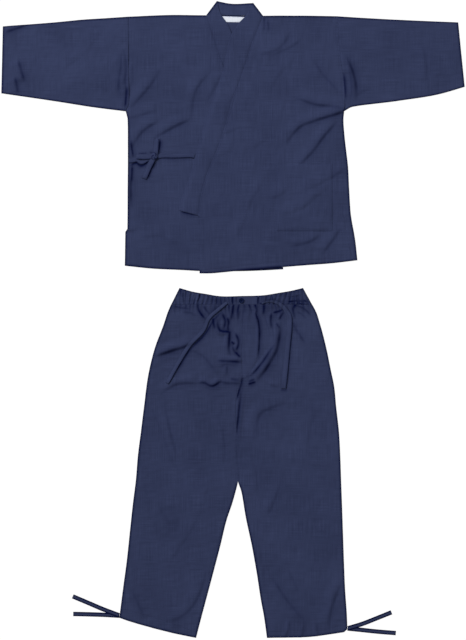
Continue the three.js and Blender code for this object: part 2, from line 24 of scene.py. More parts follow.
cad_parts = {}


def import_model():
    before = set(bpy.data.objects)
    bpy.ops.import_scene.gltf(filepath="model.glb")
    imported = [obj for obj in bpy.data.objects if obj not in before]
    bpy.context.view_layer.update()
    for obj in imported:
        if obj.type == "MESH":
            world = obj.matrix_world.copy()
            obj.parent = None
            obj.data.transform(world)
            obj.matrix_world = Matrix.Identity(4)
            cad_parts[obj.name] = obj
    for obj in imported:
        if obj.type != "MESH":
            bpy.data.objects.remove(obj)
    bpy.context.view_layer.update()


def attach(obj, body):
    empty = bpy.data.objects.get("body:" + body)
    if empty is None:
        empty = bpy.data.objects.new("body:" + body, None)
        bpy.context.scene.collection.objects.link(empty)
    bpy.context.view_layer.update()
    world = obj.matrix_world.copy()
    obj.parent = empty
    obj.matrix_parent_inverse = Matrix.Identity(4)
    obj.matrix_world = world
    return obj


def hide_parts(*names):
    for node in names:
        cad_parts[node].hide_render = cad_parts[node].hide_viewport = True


Array = np.ndarray
Points = Sequence[tuple[float, float]]
Colour = tuple[float, float, float]
Place = tuple[float, float, float]
Surface = Callable[[Array, Array], Array]  # heights or shares from the points' x and y

LOG = logging.getLogger("samue")
MM = 0.001

# ---- Thicknesses, widths and levels ----

CLOTH = 1.2  # one layer of the woven cotton
GAP = 0.3  # between layers that lie on each other
SEWN = 0.3  # how far a panel reaches into the seam beside it
BAND = 2.4  # the collar, a strip folded double
TIE = 1.6  # a tie, a narrow strip sewn double
LABEL = 0.6
WAIST_WALL = 1.8  # one side of the waistband
SLEEVE_HOLLOW = 0.6  # between the two sides of a sleeve
WAIST_HOLLOW = 0.6
TIE_WIDTH = 14.0
BOW_WIDTH = 16.0
HEM_TIE_WIDTH = 13.0

FRONT_LEVEL = CLOTH + GAP
SLEEVE_TOP = 2 * CLOTH + SLEEVE_HOLLOW
WAIST_TOP = 2 * WAIST_WALL + WAIST_HOLLOW
UNDER_COLLAR_NECK = BAND + GAP
WAIST_SEAM = 43.7  # the Y of the seam between the waistband and the legs
GATHER_HEIGHT = 2.2
GATHER_PITCH = 12.5

FINE = 3.3  # mesh spacing of the cloth that shows
PLAIN = 7.0  # mesh spacing of the layers underneath


class Cloth(Enum):
    """The pieces of cloth that creases are pressed into and seams are sewn into."""

    BACK = "jacket_back"
    FRONT_RIGHT = "jacket_front_right"
    FRONT_LEFT = "jacket_front_left"
    SLEEVE_RIGHT = "sleeve_right"
    SLEEVE_LEFT = "sleeve_left"
    LEG_RIGHT = "trouser_front_right"
    LEG_LEFT = "trouser_front_left"
    WAIST = "waistband"


class Slot(Enum):
    """The finishes that a piece can take, as the record names them."""

    COTTON = "cotton"
    LABEL = "label"
    BUTTON = "button"


# ---- Lines and surfaces ----


def smooth(start: float, stop: float, value: Array) -> Array:
    """Go from 0 at start to 1 at stop without a corner."""
    t = np.clip((value - start) / (stop - start), 0, 1)
    return t * t * (3 - 2 * t)


def hump(offset: Array, centre: float, before: float, past: float) -> Array:
    """Give a soft hump, 1 at its centre and 0 outside it.

    Args:
        offset: Signed distances across the hump.
        centre: Where it is highest.
        before: How far below its centre it starts.
        past: How far above its centre it ends.

    Returns:
        The height at each offset, from 0 to 1.
    """
    reach = np.where(offset < centre, (centre - offset) / before, (offset - centre) / past)
    return 0.5 * (1 + np.cos(np.pi * np.clip(reach, 0, 1)))


def smooth_line(points: Points, step: float, closed: bool = False, corner: float = 32.0) -> Array:
    """Follow given points with a smooth line that stays sharp at their corners.

    Args:
        points: The points that the line passes through.
        step: The distance between the points of the result, at most.
        closed: Whether the line returns to its first point.
        corner: The turn, in degrees, from which a point is a sharp corner.

    Returns:
        The points of the line, one row each.
    """
    knots = np.asarray(points, float)
    if closed:
        knots = np.vstack([knots, knots[:1]])
    chords = np.diff(knots, axis=0)
    lengths = np.hypot(*chords.T)
    units = chords / lengths[:, None]
    count = len(units)
    sharp = math.cos(math.radians(corner))

    def heading(near: int, other: int) -> Array:
        """Find the direction at the point between a chord and its neighbour.

        Args:
            near: The chord's number.
            other: The number of the chord before or after it.

        Returns:
            The direction, the chord's own at a sharp corner or an open end.
        """
        if (not closed and not 0 <= other < count) or units[near] @ units[other % count] < sharp:
            return units[near]
        other %= count
        mixed = units[near] * lengths[other] + units[other] * lengths[near]
        return mixed / np.hypot(*mixed)

    pieces = []
    for i in range(count):
        samples = max(1, math.ceil(lengths[i] / step))
        t = (np.arange(samples) / samples)[:, None]
        start, stop = (
            heading(i, other) * min(lengths[i], 2 * lengths[other % count]) for other in (i - 1, i + 1)
        )
        pieces.append(
            (2 * t**3 - 3 * t**2 + 1) * knots[i]
            + (t**3 - 2 * t**2 + t) * start
            + (3 * t**2 - 2 * t**3) * knots[i + 1]
            + (t**3 - t**2) * stop
        )
    if not closed:
        pieces.append(knots[-1:])
    return np.vstack(pieces)


def along_line(line: Array, x: Array, y: Array) -> tuple[Array, Array]:
    """Measure points against a line.

    Args:
        line: The points of the line.
        x, y: Where the points are.

    Returns:
        Their distances from the line, positive to its left, and how far along it they are.
    """
    best = np.full(x.shape, np.inf)
    signed = np.zeros(x.shape)
    along = np.zeros(x.shape)
    run = 0.0
    for a, b in zip(line[:-1], line[1:]):
        dx, dy = b - a
        length = math.hypot(dx, dy)
        px, py = x - a[0], y - a[1]
        t = np.clip((px * dx + py * dy) / length**2, 0, 1)
        distance = np.hypot(px - t * dx, py - t * dy)
        closer = distance < best
        best = np.where(closer, distance, best)
        signed = np.where(closer, np.where(dx * py - dy * px < 0, -distance, distance), signed)
        along = np.where(closer, run + t * length, along)
        run += length
    return signed, along


def run_of(line: Array) -> float:
    """Give the length of a line of points in two or three dimensions."""
    return float(np.linalg.norm(np.diff(line, axis=0), axis=1).sum())


def run_along(line: Array) -> Array:
    """Give how far along a flat line each of its points is."""
    return np.concatenate([[0], np.cumsum(np.hypot(*np.diff(line, axis=0).T))])


def points_at(line: Array, at: Array) -> Array:
    """Give the points that lie some distances along a flat line."""
    run = run_along(line)
    return np.column_stack([np.interp(at, run, line[:, k]) for k in range(2)])


def left_of(line: Array) -> Array:
    """Give the unit directions to the left of a line at its points."""
    ahead = np.gradient(line, axis=0)
    ahead /= np.hypot(*ahead.T)[:, None]
    return np.column_stack([-ahead[:, 1], ahead[:, 0]])


def spread_left(line: Array, distance: float) -> Array:
    """Move a line of points sideways, to its left."""
    return line + distance * left_of(line)


def near_line(line: Array, reach: float, x: Array, y: Array) -> Array:
    """Find the points in the box round a line, widened by a reach."""
    low, high = line.min(axis=0) - reach, line.max(axis=0) + reach
    return np.flatnonzero((x > low[0]) & (x < high[0]) & (y > low[1]) & (y < high[1]))


def area_of(outline: Points) -> float:
    """Give the signed area inside an outline, positive when it runs counter-clockwise."""
    x, y = np.asarray(outline, float).T
    return float(0.5 * np.sum(x * np.roll(y, -1) - np.roll(x, -1) * y))


def moved_out(ring: Array, distance: float) -> Array:
    """Move a ring away from the cloth that it bounds, mitred at its corners.

    Args:
        ring: The points of a ring with the cloth on its left.
        distance: How far to move it, negative to move it into the cloth.

    Returns:
        The moved points.
    """
    ahead = np.roll(ring, -1, axis=0) - ring
    ahead /= np.hypot(*ahead.T)[:, None]
    outwards = np.column_stack([ahead[:, 1], -ahead[:, 0]])
    mitre = outwards + np.roll(outwards, 1, axis=0)
    length = np.hypot(*mitre.T)[:, None]
    return ring + distance * mitre / length / np.maximum(length / 2, 0.55)


# ---- Creases and seams ----


@dataclass(frozen=True)
class Crease:
    """A crease in one piece of cloth, steep on one side of its line and gentle on the other.

    The cloth rises on the line's upper left to a crest half of steep away, and sinks back over gentle.
    shade is how dark the trough is painted, a painted shade from 0 to 1, or below 0 where that follows from
    the height. far is the height of the low swell on the other side, as a share of the crest's.
    """

    height: float
    line: Points
    steep: float = 13.0
    shade: float = -1.0
    gentle: float = 32.0
    far: float = 0.1

    def fitted(self, x: Array, y: Array) -> tuple[Array, Array, Array]:
        """Find the points that the crease reaches.

        Args:
            x, y: Where the points are.

        Returns:
            The numbers of the points, how far each is across the crease, and the crease's strength.
        """
        line = smooth_line(self.line, 9, corner=75)
        found = near_line(line, self.steep + self.gentle, x, y)
        signed, along = along_line(line, x[found], y[found])
        run = line[-1] - line[0]
        across = signed * (1 if run[0] + run[1] > 0 else -1)
        part = along / run_of(line)
        uneven = 1 + 0.14 * np.sin(along / 17 + self.height) + 0.1 * np.sin(along / 7.3)
        return found, across, smooth(0, 0.3, part) * smooth(0, 0.3, 1 - part) * uneven

    def lift(self, x: Array, y: Array) -> Array:
        """Find how far the crease lifts the cloth.

        Args:
            x, y: Where the points are.

        Returns:
            The lift at each point.
        """
        result = np.zeros(x.shape)
        found, across, strength = self.fitted(x, y)
        half = self.steep / 2
        crest = hump(across, half, self.steep, self.gentle)
        swell = self.far * hump(-across, half + 3, self.steep * 0.8, 0.8 * self.gentle)
        result[found] = self.height * strength * np.maximum(crest, swell)
        return result

    def depth(self, x: Array, y: Array) -> Array:
        """Find the painted shade of the crease's trough, darkest on its line.

        Args:
            x, y: Where the points are.

        Returns:
            The painted shade at each point, from 0 to about 1.
        """
        result = np.zeros(x.shape)
        share = self.shade if self.shade >= 0 else min(max((self.height - 0.8) / 6, 0.0), 1.0)
        if share:
            found, across, strength = self.fitted(x, y)
            width = 1.5 + 0.16 * self.steep
            core = np.exp(-((across / width) ** 2))
            around = np.exp(-(((across + 0.6 * width) / (3.4 * width)) ** 2))
            result[found] = share * strength * (0.72 * core + 0.38 * around)
        return result


@dataclass(frozen=True)
class Seam:
    """Sewing through one piece of cloth: its rows of stitches, their groove and a turned edge.

    rows are the distances of the rows to the left of the line. turn is the width of the edge that is
    turned under on the line's left, and lip how far that lifts the cloth.
    """

    line: Points
    rows: tuple[float, ...] = (0.0,)
    groove: float = 0.35
    lip: float = 0.0
    turn: float = 0.0
    pucker: float = 0.16

    def relief(self, x: Array, y: Array) -> Array:
        """Find how far the seam moves the top of the cloth.

        Args:
            x, y: Where the points are.

        Returns:
            The movement at each point.
        """
        result = np.zeros(x.shape)
        line = smooth_line(self.line, 6)
        found = near_line(line, max(18.0, self.turn + 4), x, y)
        signed, along = along_line(line, x[found], y[found])
        height = self.lip * smooth(-0.8, 1.6, signed) * (1 - smooth(self.turn, self.turn + 2, signed))
        drawn = 0.5 + 0.5 * np.cos(along * 2 * np.pi / 15 + 1.6 * np.sin(along / 23))
        height += self.pucker * drawn * np.exp(-((signed / 7) ** 2))
        for row in self.rows:
            height -= self.groove * np.exp(-(((signed - row) / 1.5) ** 2))
        result[found] = height
        return result

    def stitched(self) -> list[Array]:
        """Give the line of each row of stitches."""
        line = smooth_line(self.line, 3)
        return [spread_left(line, row) for row in self.rows]

    def features(self) -> list[Array]:
        """Give the lines that the mesh follows so that each groove is round."""
        return [spread_left(line, offset) for line in self.stitched() for offset in (-2.2, 0.0, 2.2)]


@dataclass(frozen=True)
class Ripple:
    """The gentle unevenness of cloth that was ironed, folded and laid out."""

    height: float
    seed: int

    def __call__(self, x: Array, y: Array) -> Array:
        """Find the ripple's height.

        Args:
            x, y: Where the points are.

        Returns:
            The height at each point, from 0 to about the ripple's own.
        """
        draw = np.random.default_rng(self.seed)
        total = np.zeros(x.shape)
        for length in (22.0, 33.0, 50.0, 78.0, 110.0, 170.0):
            angle, phase, bend = draw.uniform(0, np.pi), draw.uniform(0, 6.28), draw.uniform(0.5, 1.4)
            ahead = x * math.cos(angle) + y * math.sin(angle)
            across = y * math.cos(angle) - x * math.sin(angle)
            wander = phase + bend * np.sin(across / length)
            total += length**0.3 * np.sin(2 * np.pi * ahead / length + wander)
        return self.height * (0.5 + total / 40)


# ---- Meshes ----


def made(
    name: str,
    points: Array,
    triangles: Array,
    quads: Array,
    cut: Array,
    painted_shade: Array | None = None,
) -> Object:
    """Turn points and faces into a smooth-shaded piece.

    Args:
        name: The piece's name.
        points: Its points.
        triangles: Rows of three point numbers.
        quads: Rows of four point numbers.
        cut: Each point's place on the flat cut cloth, two columns.
        painted_shade: The painted shade at each point, from 0 to 1: darker along the outlines and in crease
            troughs, where shade falls.

    Returns:
        The piece.
    """
    mesh = bpy.data.meshes.new(name)
    mesh.vertices.add(len(points))
    mesh.vertices.foreach_set("co", (np.asarray(points) * MM).astype(np.float32).ravel())
    corners = np.concatenate([np.ravel(triangles), np.ravel(quads)]).astype(np.int32)
    sizes = np.concatenate([np.full(len(triangles), 3), np.full(len(quads), 4)]).astype(np.int32)
    mesh.loops.add(len(corners))
    mesh.loops.foreach_set("vertex_index", corners)
    mesh.polygons.add(len(sizes))
    mesh.polygons.foreach_set("loop_start", np.concatenate([[0], np.cumsum(sizes)[:-1]]).astype(np.int32))
    mesh.polygons.foreach_set("use_smooth", np.ones(len(sizes), bool))
    mesh.update(calc_edges=True)
    mesh.validate()
    placed = np.column_stack([np.asarray(cut) * MM, np.zeros(len(points))])
    places = mesh.attributes.new("cut", "FLOAT_VECTOR", "POINT").data
    places.foreach_set("vector", placed.astype(np.float32).ravel())
    # Painted shade: a dark colour is mixed in along outlines, seams and crease troughs, where shade would
    # fall.
    painted_darkening = np.zeros(len(points)) if painted_shade is None else painted_shade
    mesh.attributes.new("painted_shade", "FLOAT", "POINT").data.foreach_set("value", painted_darkening.astype(np.float32))
    piece = bpy.data.objects.new(name, mesh)
    bpy.context.scene.collection.objects.link(piece)
    return piece


def turned(points: Array, degrees: float) -> Array:
    """Turn the first two columns of points by an angle."""
    c, s = math.cos(math.radians(degrees)), math.sin(math.radians(degrees))
    return np.column_stack([points[:, 0] * c - points[:, 1] * s, points[:, 0] * s + points[:, 1] * c])


def band(a: Array, b: Array) -> Array:
    """Join two closed loops of point numbers by a band of quads."""
    return np.column_stack([a, np.roll(a, -1), np.roll(b, -1), b])


def closest(points: Array, others: Array) -> tuple[Array, Array]:
    """Find the nearest of some other points.

    Args:
        points: The points, two columns.
        others: The other points, two columns.

    Returns:
        Each point's distance from the nearest of the others, and the number of that one.
    """
    tree = KDTree(len(others))
    for i, (x, y) in enumerate(others):
        tree.insert((x, y, 0), i)
    tree.balance()
    found = [tree.find((x, y, 0)) for x, y in points]
    return np.array([row[2] for row in found]), np.array([row[1] for row in found])


def enclosed(rings: Sequence[Array], x: Array, y: Array) -> Array:
    """Tell which points lie inside rings, and outside the rings within them.

    Args:
        rings: The points of each ring.
        x, y: Where the points are.

    Returns:
        Whether each point lies inside.
    """
    inside = np.zeros(x.shape, bool)
    for ring in rings:
        for (ax, ay), (bx, by) in zip(ring, np.roll(ring, -1, axis=0)):
            if ay == by:
                continue
            spans = (ay <= y) != (by <= y)
            inside[spans] ^= x[spans] < ax + (y[spans] - ay) * (bx - ax) / (by - ay)
    return inside


@dataclass
class Shell:
    """A piece of cloth, or of anything thin, cut to an outline, with rounded edges.

    bottom gives its underside and thickness how far its top lies above that. The mesh follows the
    lines in features. trough gives the painted shade in the troughs of creases. The cloth is also painted
    darker along its outline, a painted shade where its edge rounds down; where the edge meets or covers
    one of the outlines in beside, that painted shade is fainter.
    """

    name: str
    outline: Points
    bottom: Surface
    thickness: Surface | float
    spacing: float = FINE
    edge: float = 0.5
    grain: float = 0.0
    reach: float = SEWN
    # how far in from the outline the painted edge shade reaches, in millimetres
    painted_shade_width: float = 8.5
    trough: Surface | None = None
    beside: Sequence[Points] = ()
    holes: Sequence[Points] = ()
    features: Sequence[Array] = ()

    BENDS = (30.0, 60.0)
    # how strong the painted edge shade is where an edge lies beside another piece
    LAPPED = 0.06

    def top(self, x: Array, y: Array) -> Array:
        """Give the height of the upper side."""
        thick = self.thickness(x, y) if callable(self.thickness) else self.thickness
        return self.bottom(x, y) + thick

    def rings(self) -> list[Array]:
        """Follow the outline and the holes as rings.

        Returns:
            The rings, each with the cloth on its left.
        """
        rings = []
        for points, wanted in [(self.outline, 1), *((hole, -1) for hole in self.holes)]:
            way = list(points) if area_of(points) * wanted > 0 else list(points)[::-1]
            rings.append(moved_out(smooth_line(way, self.spacing, closed=True), self.reach))
        return rings

    def lattice(self, inner: Sequence[Array]) -> Array:
        """Fill the cloth inside its rounded edge with points.

        Args:
            inner: The rings inside the rounded edge.

        Returns:
            The points, those along the features first.
        """
        edge = np.vstack(inner)
        low, high = edge.min(axis=0), edge.max(axis=0)
        rows = np.arange(low[1], high[1], self.spacing * 0.866)
        columns = np.arange(low[0], high[0], self.spacing)
        x, y = np.meshgrid(columns, rows)
        x = x + (np.arange(len(rows)) % 2)[:, None] * self.spacing / 2
        filling = np.column_stack([x.ravel(), y.ravel()])
        followed = np.vstack([*self.features, np.empty((0, 2))])
        if len(followed):
            followed = followed[np.unique(np.round(followed / 0.8), axis=0, return_index=True)[1]]
            followed = followed[enclosed(inner, *followed.T)]
            followed = followed[closest(followed, edge)[0] > 1.1]
        filling = filling[enclosed(inner, *filling.T)]
        filling = filling[closest(filling, np.vstack([edge, followed]))[0] > 0.55 * self.spacing]
        return np.vstack([followed, filling])

    def painted_darkening(self, rings: Sequence[Array], plan: Array) -> Array:
        """Find the painted shade of the cloth: darker along its outline and in the troughs of its creases.

        Args:
            rings: The outline and the holes.
            plan: The points to look at, two columns.

        Returns:
            The painted shade at each point, from 0 to 1.
        """
        painted_shade = np.zeros(len(plan))
        if self.painted_shade_width:
            outside = np.vstack([moved_out(ring, 6) for ring in rings])
            lapped = np.zeros(len(outside), bool)
            for outline in self.beside:
                lapped |= enclosed([np.asarray(outline, float)], *outside.T)
            distance, nearest = closest(plan, np.vstack(rings))
            painted_shade = np.where(lapped, self.LAPPED, 1.0)[nearest] * (1 - smooth(0, self.painted_shade_width, distance))
        return np.maximum(painted_shade, self.trough(*plan.T)) if self.trough else painted_shade

    def filled(self, inner: Sequence[Array]) -> tuple[Array, Array, Array]:
        """Fill the cloth inside its rounded edge with triangles.

        Args:
            inner: The rings inside the rounded edge.

        Returns:
            The flat points, the triangles facing up, and the number of each ring point among the points.
        """
        flat = np.vstack([*inner, self.lattice(inner)])
        starts = np.cumsum([0, *map(len, inner)])
        loops = [list(range(a, b)) for a, b in zip(starts[:-1], starts[1:])]
        found = delaunay_2d_cdt([Vector(p) for p in flat.tolist()], [], loops, 1, 1e-5)
        placed = np.array([tuple(v) for v in found[0]])
        faces = np.array([face for face in found[2] if len(face) == 3])
        if self.holes:
            middle = placed[faces].mean(axis=1)
            faces = faces[enclosed(inner, *middle.T)]
        a, b, c = (placed[faces[:, k]] for k in range(3))
        downwards = (b[:, 0] - a[:, 0]) * (c[:, 1] - a[:, 1]) < (b[:, 1] - a[:, 1]) * (c[:, 0] - a[:, 0])
        faces[downwards] = faces[downwards][:, ::-1]
        number = np.zeros(len(flat), int)
        for i, sources in enumerate(found[3]):
            number[sources] = i
        return placed, faces, number

    def build(self) -> Object:
        """Make the mesh of the piece.

        Returns:
            The piece.
        """
        rings = self.rings()
        placed, faces, number = self.filled([moved_out(ring, -self.edge) for ring in rings])
        points, plan, quads = [], [], []
        start = 0

        def add(where: Array, heights: Array) -> int:
            """Add points.

            Args:
                where: Their plan, two columns.
                heights: Their heights.

            Returns:
                The number of the first.
            """
            first = sum(map(len, plan))
            plan.append(where)
            points.append(np.column_stack([where, heights]))
            return first

        bottom, top = self.bottom(*placed.T), self.top(*placed.T)
        over, under = add(placed, top), add(placed, bottom)
        for ring in rings:
            levels = []
            for bend in (0.0, *self.BENDS):
                angle = math.radians(bend)
                where = moved_out(ring, -self.edge * (1 - math.cos(angle))) if bend else ring
                low, high = self.bottom(*where.T), self.top(*where.T)
                middle, half = (low + high) / 2, (high - low) / 2 * math.sin(angle)
                first = add(where, middle + half)
                levels.append((first, first if not bend else add(where, middle - half)))
            here = np.arange(len(ring))
            rim = number[start : start + len(ring)]
            start += len(ring)
            upper = [first + here for first, _ in levels] + [over + rim]
            lower = [first + here for _, first in levels] + [under + rim]
            quads += [band(a, b) for a, b in zip(upper[:-1], upper[1:])]
            quads += [band(a, b)[:, [1, 0, 3, 2]] for a, b in zip(lower[:-1], lower[1:])]
        plan = np.vstack(plan)
        triangles = np.vstack([over + faces, under + faces[:, ::-1]])
        cut = turned(plan, self.grain)
        return made(self.name, np.vstack(points), triangles, np.vstack(quads), cut, self.painted_darkening(rings, plan))


@dataclass
class FlatTube:
    """A tube of cloth laid flat, folded along two edges and open at its two ends.

    first and last are its ends from one fold to the other, the first sewn to what lies beside it, and
    one_fold and other_fold the folds between them. upper gives the height of its upper layer's top; it
    lies on the table. trough gives the painted shade in its creases; its folds and last end are painted
    darker too, a painted shade, and its sewn first end faintly so.
    """

    name: str
    first: Points
    last: Points
    one_fold: Points
    other_fold: Points
    wall: float
    upper: Surface
    bend: float = 1.6
    steps: tuple[float, float] = (FINE, FINE)
    grain: float = 0.0
    trough: Surface | None = None

    @staticmethod
    def places(line: Points, shares: Array) -> Array:
        """Give the points at some shares of a line's length."""
        fine = smooth_line(line, 2.0)
        return points_at(fine, shares * run_along(fine)[-1])

    def build(self) -> Object:
        """Make the mesh: an outer and an inner surface, joined round both ends.

        Returns:
            The piece.
        """
        length, width = (
            max(run_of(np.asarray(line, float)) for line in pair)
            for pair in ((self.one_fold, self.other_fold), (self.first, self.last))
        )
        stations = max(3, math.ceil(length / self.steps[0]))
        inner_steps = np.linspace(self.bend, width - self.bend, math.ceil(width / self.steps[1]))
        close = self.bend * np.array([0.0, 0.07, 0.29, 0.62])
        shares = np.concatenate([close, inner_steps, width - close[::-1]]) / width
        across = len(shares)
        along = np.linspace(0, 1, stations)
        u, v = along[:, None, None], shares[None, :, None]
        ends = [self.places(line, shares)[None] for line in (self.first, self.last)]
        folds = [self.places(line, along)[:, None] for line in (self.one_fold, self.other_fold)]
        flat = (1 - u) * ends[0] + u * ends[1] + (1 - v) * folds[0] + v * folds[1]
        flat -= (1 - u) * ((1 - v) * folds[0][0] + v * folds[1][0])
        flat -= u * ((1 - v) * folds[0][-1] + v * folds[1][-1])
        from_fold = np.minimum(shares, 1 - shares) * width
        curl = np.sqrt(1 - (1 - np.clip(from_fold / self.bend, 0, 1)) ** 2)[None, :]
        inset = np.clip(shares * width, self.wall, width - self.wall) / width
        inside = flat + (inset - shares)[None, :, None] * (folds[1] - folds[0])
        height = self.upper(*flat.reshape(-1, 2).T).reshape(stations, across)
        middle = height / 2
        sheets = [
            (flat, middle + middle * curl),
            (flat, middle - middle * curl),
            (inside, middle + (middle - self.wall) * curl),
            (inside, middle - (middle - self.wall) * curl),
        ]
        points = [np.column_stack([where.reshape(-1, 2), z.ravel()]) for where, z in sheets]
        number = np.arange(stations * across).reshape(stations, across)
        size = stations * across
        under = number + size
        under[:, 0], under[:, -1] = number[:, 0], number[:, -1]
        loop = np.hstack([number, under[:, -2:0:-1]])
        lower = number + 3 * size
        lower[:, 0], lower[:, -1] = number[:, 0] + 2 * size, number[:, -1] + 2 * size
        hollow = np.hstack([number + 2 * size, lower[:, -2:0:-1]])
        quads = [band(loop[i], loop[i + 1]) for i in range(stations - 1)]
        quads += [band(hollow[i + 1], hollow[i]) for i in range(stations - 1)]
        quads += [band(loop[-1], hollow[-1]), band(hollow[0], loop[0])]
        quads = np.vstack(quads)[:, [0, 3, 2, 1]]
        points = np.vstack(points)
        corner = points[quads[:1, :3][0]]
        if np.cross(corner[1] - corner[0], corner[2] - corner[0])[2] < 0:
            quads = quads[:, ::-1]
        used, quads = np.unique(quads, return_inverse=True)
        quads = quads.reshape(-1, 4)
        points = points[used]
        # Painted shade along the folds and the last end, faint at the sewn first end, and in the crease
        # troughs.
        from_last = np.repeat((1 - along) * length, across)
        painted_shade = 1 - smooth(0, Shell.painted_shade_width, np.minimum(from_last, np.tile(from_fold, stations)))
        painted_shade = np.maximum(painted_shade, Shell.LAPPED * (1 - smooth(0, 4, np.repeat(along * length, across))))
        if self.trough:
            painted_shade = np.maximum(painted_shade, self.trough(*flat.reshape(-1, 2).T))
        painted_shade = np.tile(painted_shade, 4)[used]
        cut = turned(points[:, :2], self.grain)
        return made(self.name, points, np.empty((0, 3), int), quads, cut, painted_shade)


@dataclass
class Strip:
    """A narrow flat strip, such as a tie, that follows a line and drapes over what it lies on.

    lean lifts its left edge, or its right one where that is below 0, by that height. taper narrows it
    towards its first end, to a share of its width. edges is how dark its right and left edges are painted,
    a painted shade on the side that turns from the light.
    """

    name: str
    line: Points
    width: float
    bottom: Surface
    thickness: float = TIE
    lean: float = 0.0
    taper: float = 1.0
    edges: tuple[float, float] = (0.5, 0.5)
    step: float = 2.5

    SECTION = (
        (-1, 0.5), (-0.97, 0.2), (-0.86, 0), (-0.45, 0), (0, 0), (0.45, 0), (0.86, 0), (0.97, 0.2), (1, 0.5),
        (0.97, 0.8), (0.88, 1), (0.76, 0.84), (0.62, 1), (0.3, 1.05), (0, 1.06), (-0.3, 1.05), (-0.62, 1),
        (-0.76, 0.84), (-0.88, 1), (-0.97, 0.8),
    )
    END = ((0.0, 0.12), (0.35, 0.7), (1.0, 1.0))

    def stations(self) -> tuple[Array, Array, Array]:
        """Measure the strip along its line.

        Returns:
            The points of the line, the directions to its left and the widths.
        """
        line = smooth_line(self.line, self.step, corner=80)
        part = np.linspace(0, 1, len(line))
        width = self.width * (self.taper + (1 - self.taper) * smooth(0, 0.35, part))
        return line, left_of(line), width

    def centre(self) -> Array:
        """Give the line in the middle of the strip, in three dimensions."""
        line, _, _ = self.stations()
        return np.column_stack([line, self.bottom(*line.T) + self.thickness / 2])

    def build(self) -> Object:
        """Make the mesh of the strip.

        Returns:
            The piece.
        """
        line, left, width = self.stations()
        section = np.array(self.SECTION)
        count = len(section)
        run = run_along(line)
        from_end = np.minimum(run, run[-1] - run)
        fullness = np.interp(from_end, *np.array(self.END).T)
        across = section[None, :, 0] * width[:, None] / 2
        plan = line[:, None] + left[:, None] * across[..., None]
        base = self.bottom(*plan.reshape(-1, 2).T).reshape(plan.shape[:2])
        sway = np.abs(self.lean) * (0.8 + 0.2 * np.sin(run / 19)) * np.interp(from_end, (0, 9), (0, 1))
        lean = sway[:, None] * (np.sign(self.lean) * section[None, :, 0] + 1) / 2
        up = 0.5 + (section[None, :, 1] - 0.5) * fullness[:, None]
        z = base + up * self.thickness + lean
        points = np.column_stack([plan.reshape(-1, 2), z.ravel()])
        number = np.arange(len(line) * count).reshape(-1, count)
        quads = [band(a, b) for a, b in zip(number[:-1], number[1:])]
        tips = [points[ring].mean(axis=0) for ring in (number[0], number[-1])]
        first, last = len(points), len(points) + 1
        start, stop = number[0], number[-1]
        fans = [
            np.column_stack([np.roll(start, -1), start, np.full(count, first)]),
            np.column_stack([stop, np.roll(stop, -1), np.full(count, last)]),
        ]
        points = np.vstack([points, *tips])
        place = np.column_stack([across.ravel(), np.repeat(run, count)])
        place = np.vstack([place, [0, 0], [0, run[-1]]])
        # Painted shade along the strip's two edges, by the shares in edges, and at both tips.
        side = np.where(section[:, 0] < 0, *self.edges)
        edge = np.tile(np.clip(side * np.abs(section[:, 0]) ** 4, 0, 1), len(line))
        triangles, quads = np.vstack(fans), np.vstack(quads)
        a, b, c = (points[quads[0, k]] for k in range(3))
        if np.cross(b - a, c - a)[2] > 0:
            triangles, quads = triangles[:, ::-1], quads[:, ::-1]
        return made(self.name, points, triangles, quads, place, np.concatenate([edge, [1, 1]]))


@dataclass
class Stitching:
    """Rows of lockstitch, each stitch a short twist of thread, joined in one piece."""

    name: str
    pitch: float = 3.4
    length: float = 2.5
    radius: float = 0.26
    rows: list[tuple[Array, Surface]] = field(default_factory=list)

    SIDES = 5
    DIP = 0.9  # how far a stitch's two ends sink into the cloth, in radii

    def sew(self, relief: Relief, top: Surface, outline: Points) -> None:
        """Sew the rows of all seams of a piece of cloth.

        Args:
            relief: The relief that holds the seams.
            top: The upper side of the cloth.
            outline: The outline that the stitches stay inside.
        """
        for line in (row for seam in relief.seams for row in seam.stitched()):
            at = np.arange(self.pitch / 2, run_along(line)[-1] - self.pitch / 2, self.pitch)
            ends = np.stack([points_at(line, at + part * self.length / 2) for part in (-1, 1)], axis=1)
            kept = enclosed([np.asarray(outline, float)], *ends.mean(axis=1).T)
            if kept.any():
                self.rows.append((ends[kept], top))

    def build(self) -> Object:
        """Make every stitch of every row in one mesh.

        Returns:
            The piece.
        """
        start, stop = (
            np.vstack([
                np.column_stack([ends[:, side], top(*ends[:, side].T) + 0.35 * self.radius])
                for ends, top in self.rows
            ])
            for side in (0, 1)
        )
        ahead = stop - start
        length = np.linalg.norm(ahead, axis=1)[:, None]
        ahead /= length
        side = np.cross(ahead, [0, 0, 1.0])
        side /= np.linalg.norm(side, axis=1)[:, None]
        up = np.cross(side, ahead)
        turn = np.arange(self.SIDES) * 2 * np.pi / self.SIDES
        shape = [(0.0, 0.0, 0.0)]
        shape += [(0.22, math.cos(t), math.sin(t)) for t in turn]
        shape += [(0.78, math.cos(t + 0.6), math.sin(t + 0.6)) for t in turn]
        shape += [(1.0, 0.0, 0.0)]
        points = np.stack(
            [
                start + ahead * length * s + (side * a + up * b) * self.radius
                - np.array([0, 0, self.DIP * self.radius]) * (s in (0.0, 1.0))
                for s, a, b in shape
            ],
            axis=1,
        )
        n = self.SIDES
        ring = np.arange(n)
        after = (ring + 1) % n
        caps = np.vstack([
            np.column_stack([np.zeros(n, int), 1 + ring, 1 + after]),
            np.column_stack([np.full(n, 2 * n + 1), 1 + n + after, 1 + n + ring]),
        ])
        sides = np.column_stack([1 + ring, 1 + n + ring, 1 + n + after, 1 + after])
        offsets = (np.arange(len(points)) * (2 * n + 2))[:, None, None]
        flat = points.reshape(-1, 3)
        return made(
            self.name, flat, (offsets + caps).reshape(-1, 3), (offsets + sides).reshape(-1, 4), flat[:, :2]
        )


# ---- Shapes of the pieces ----

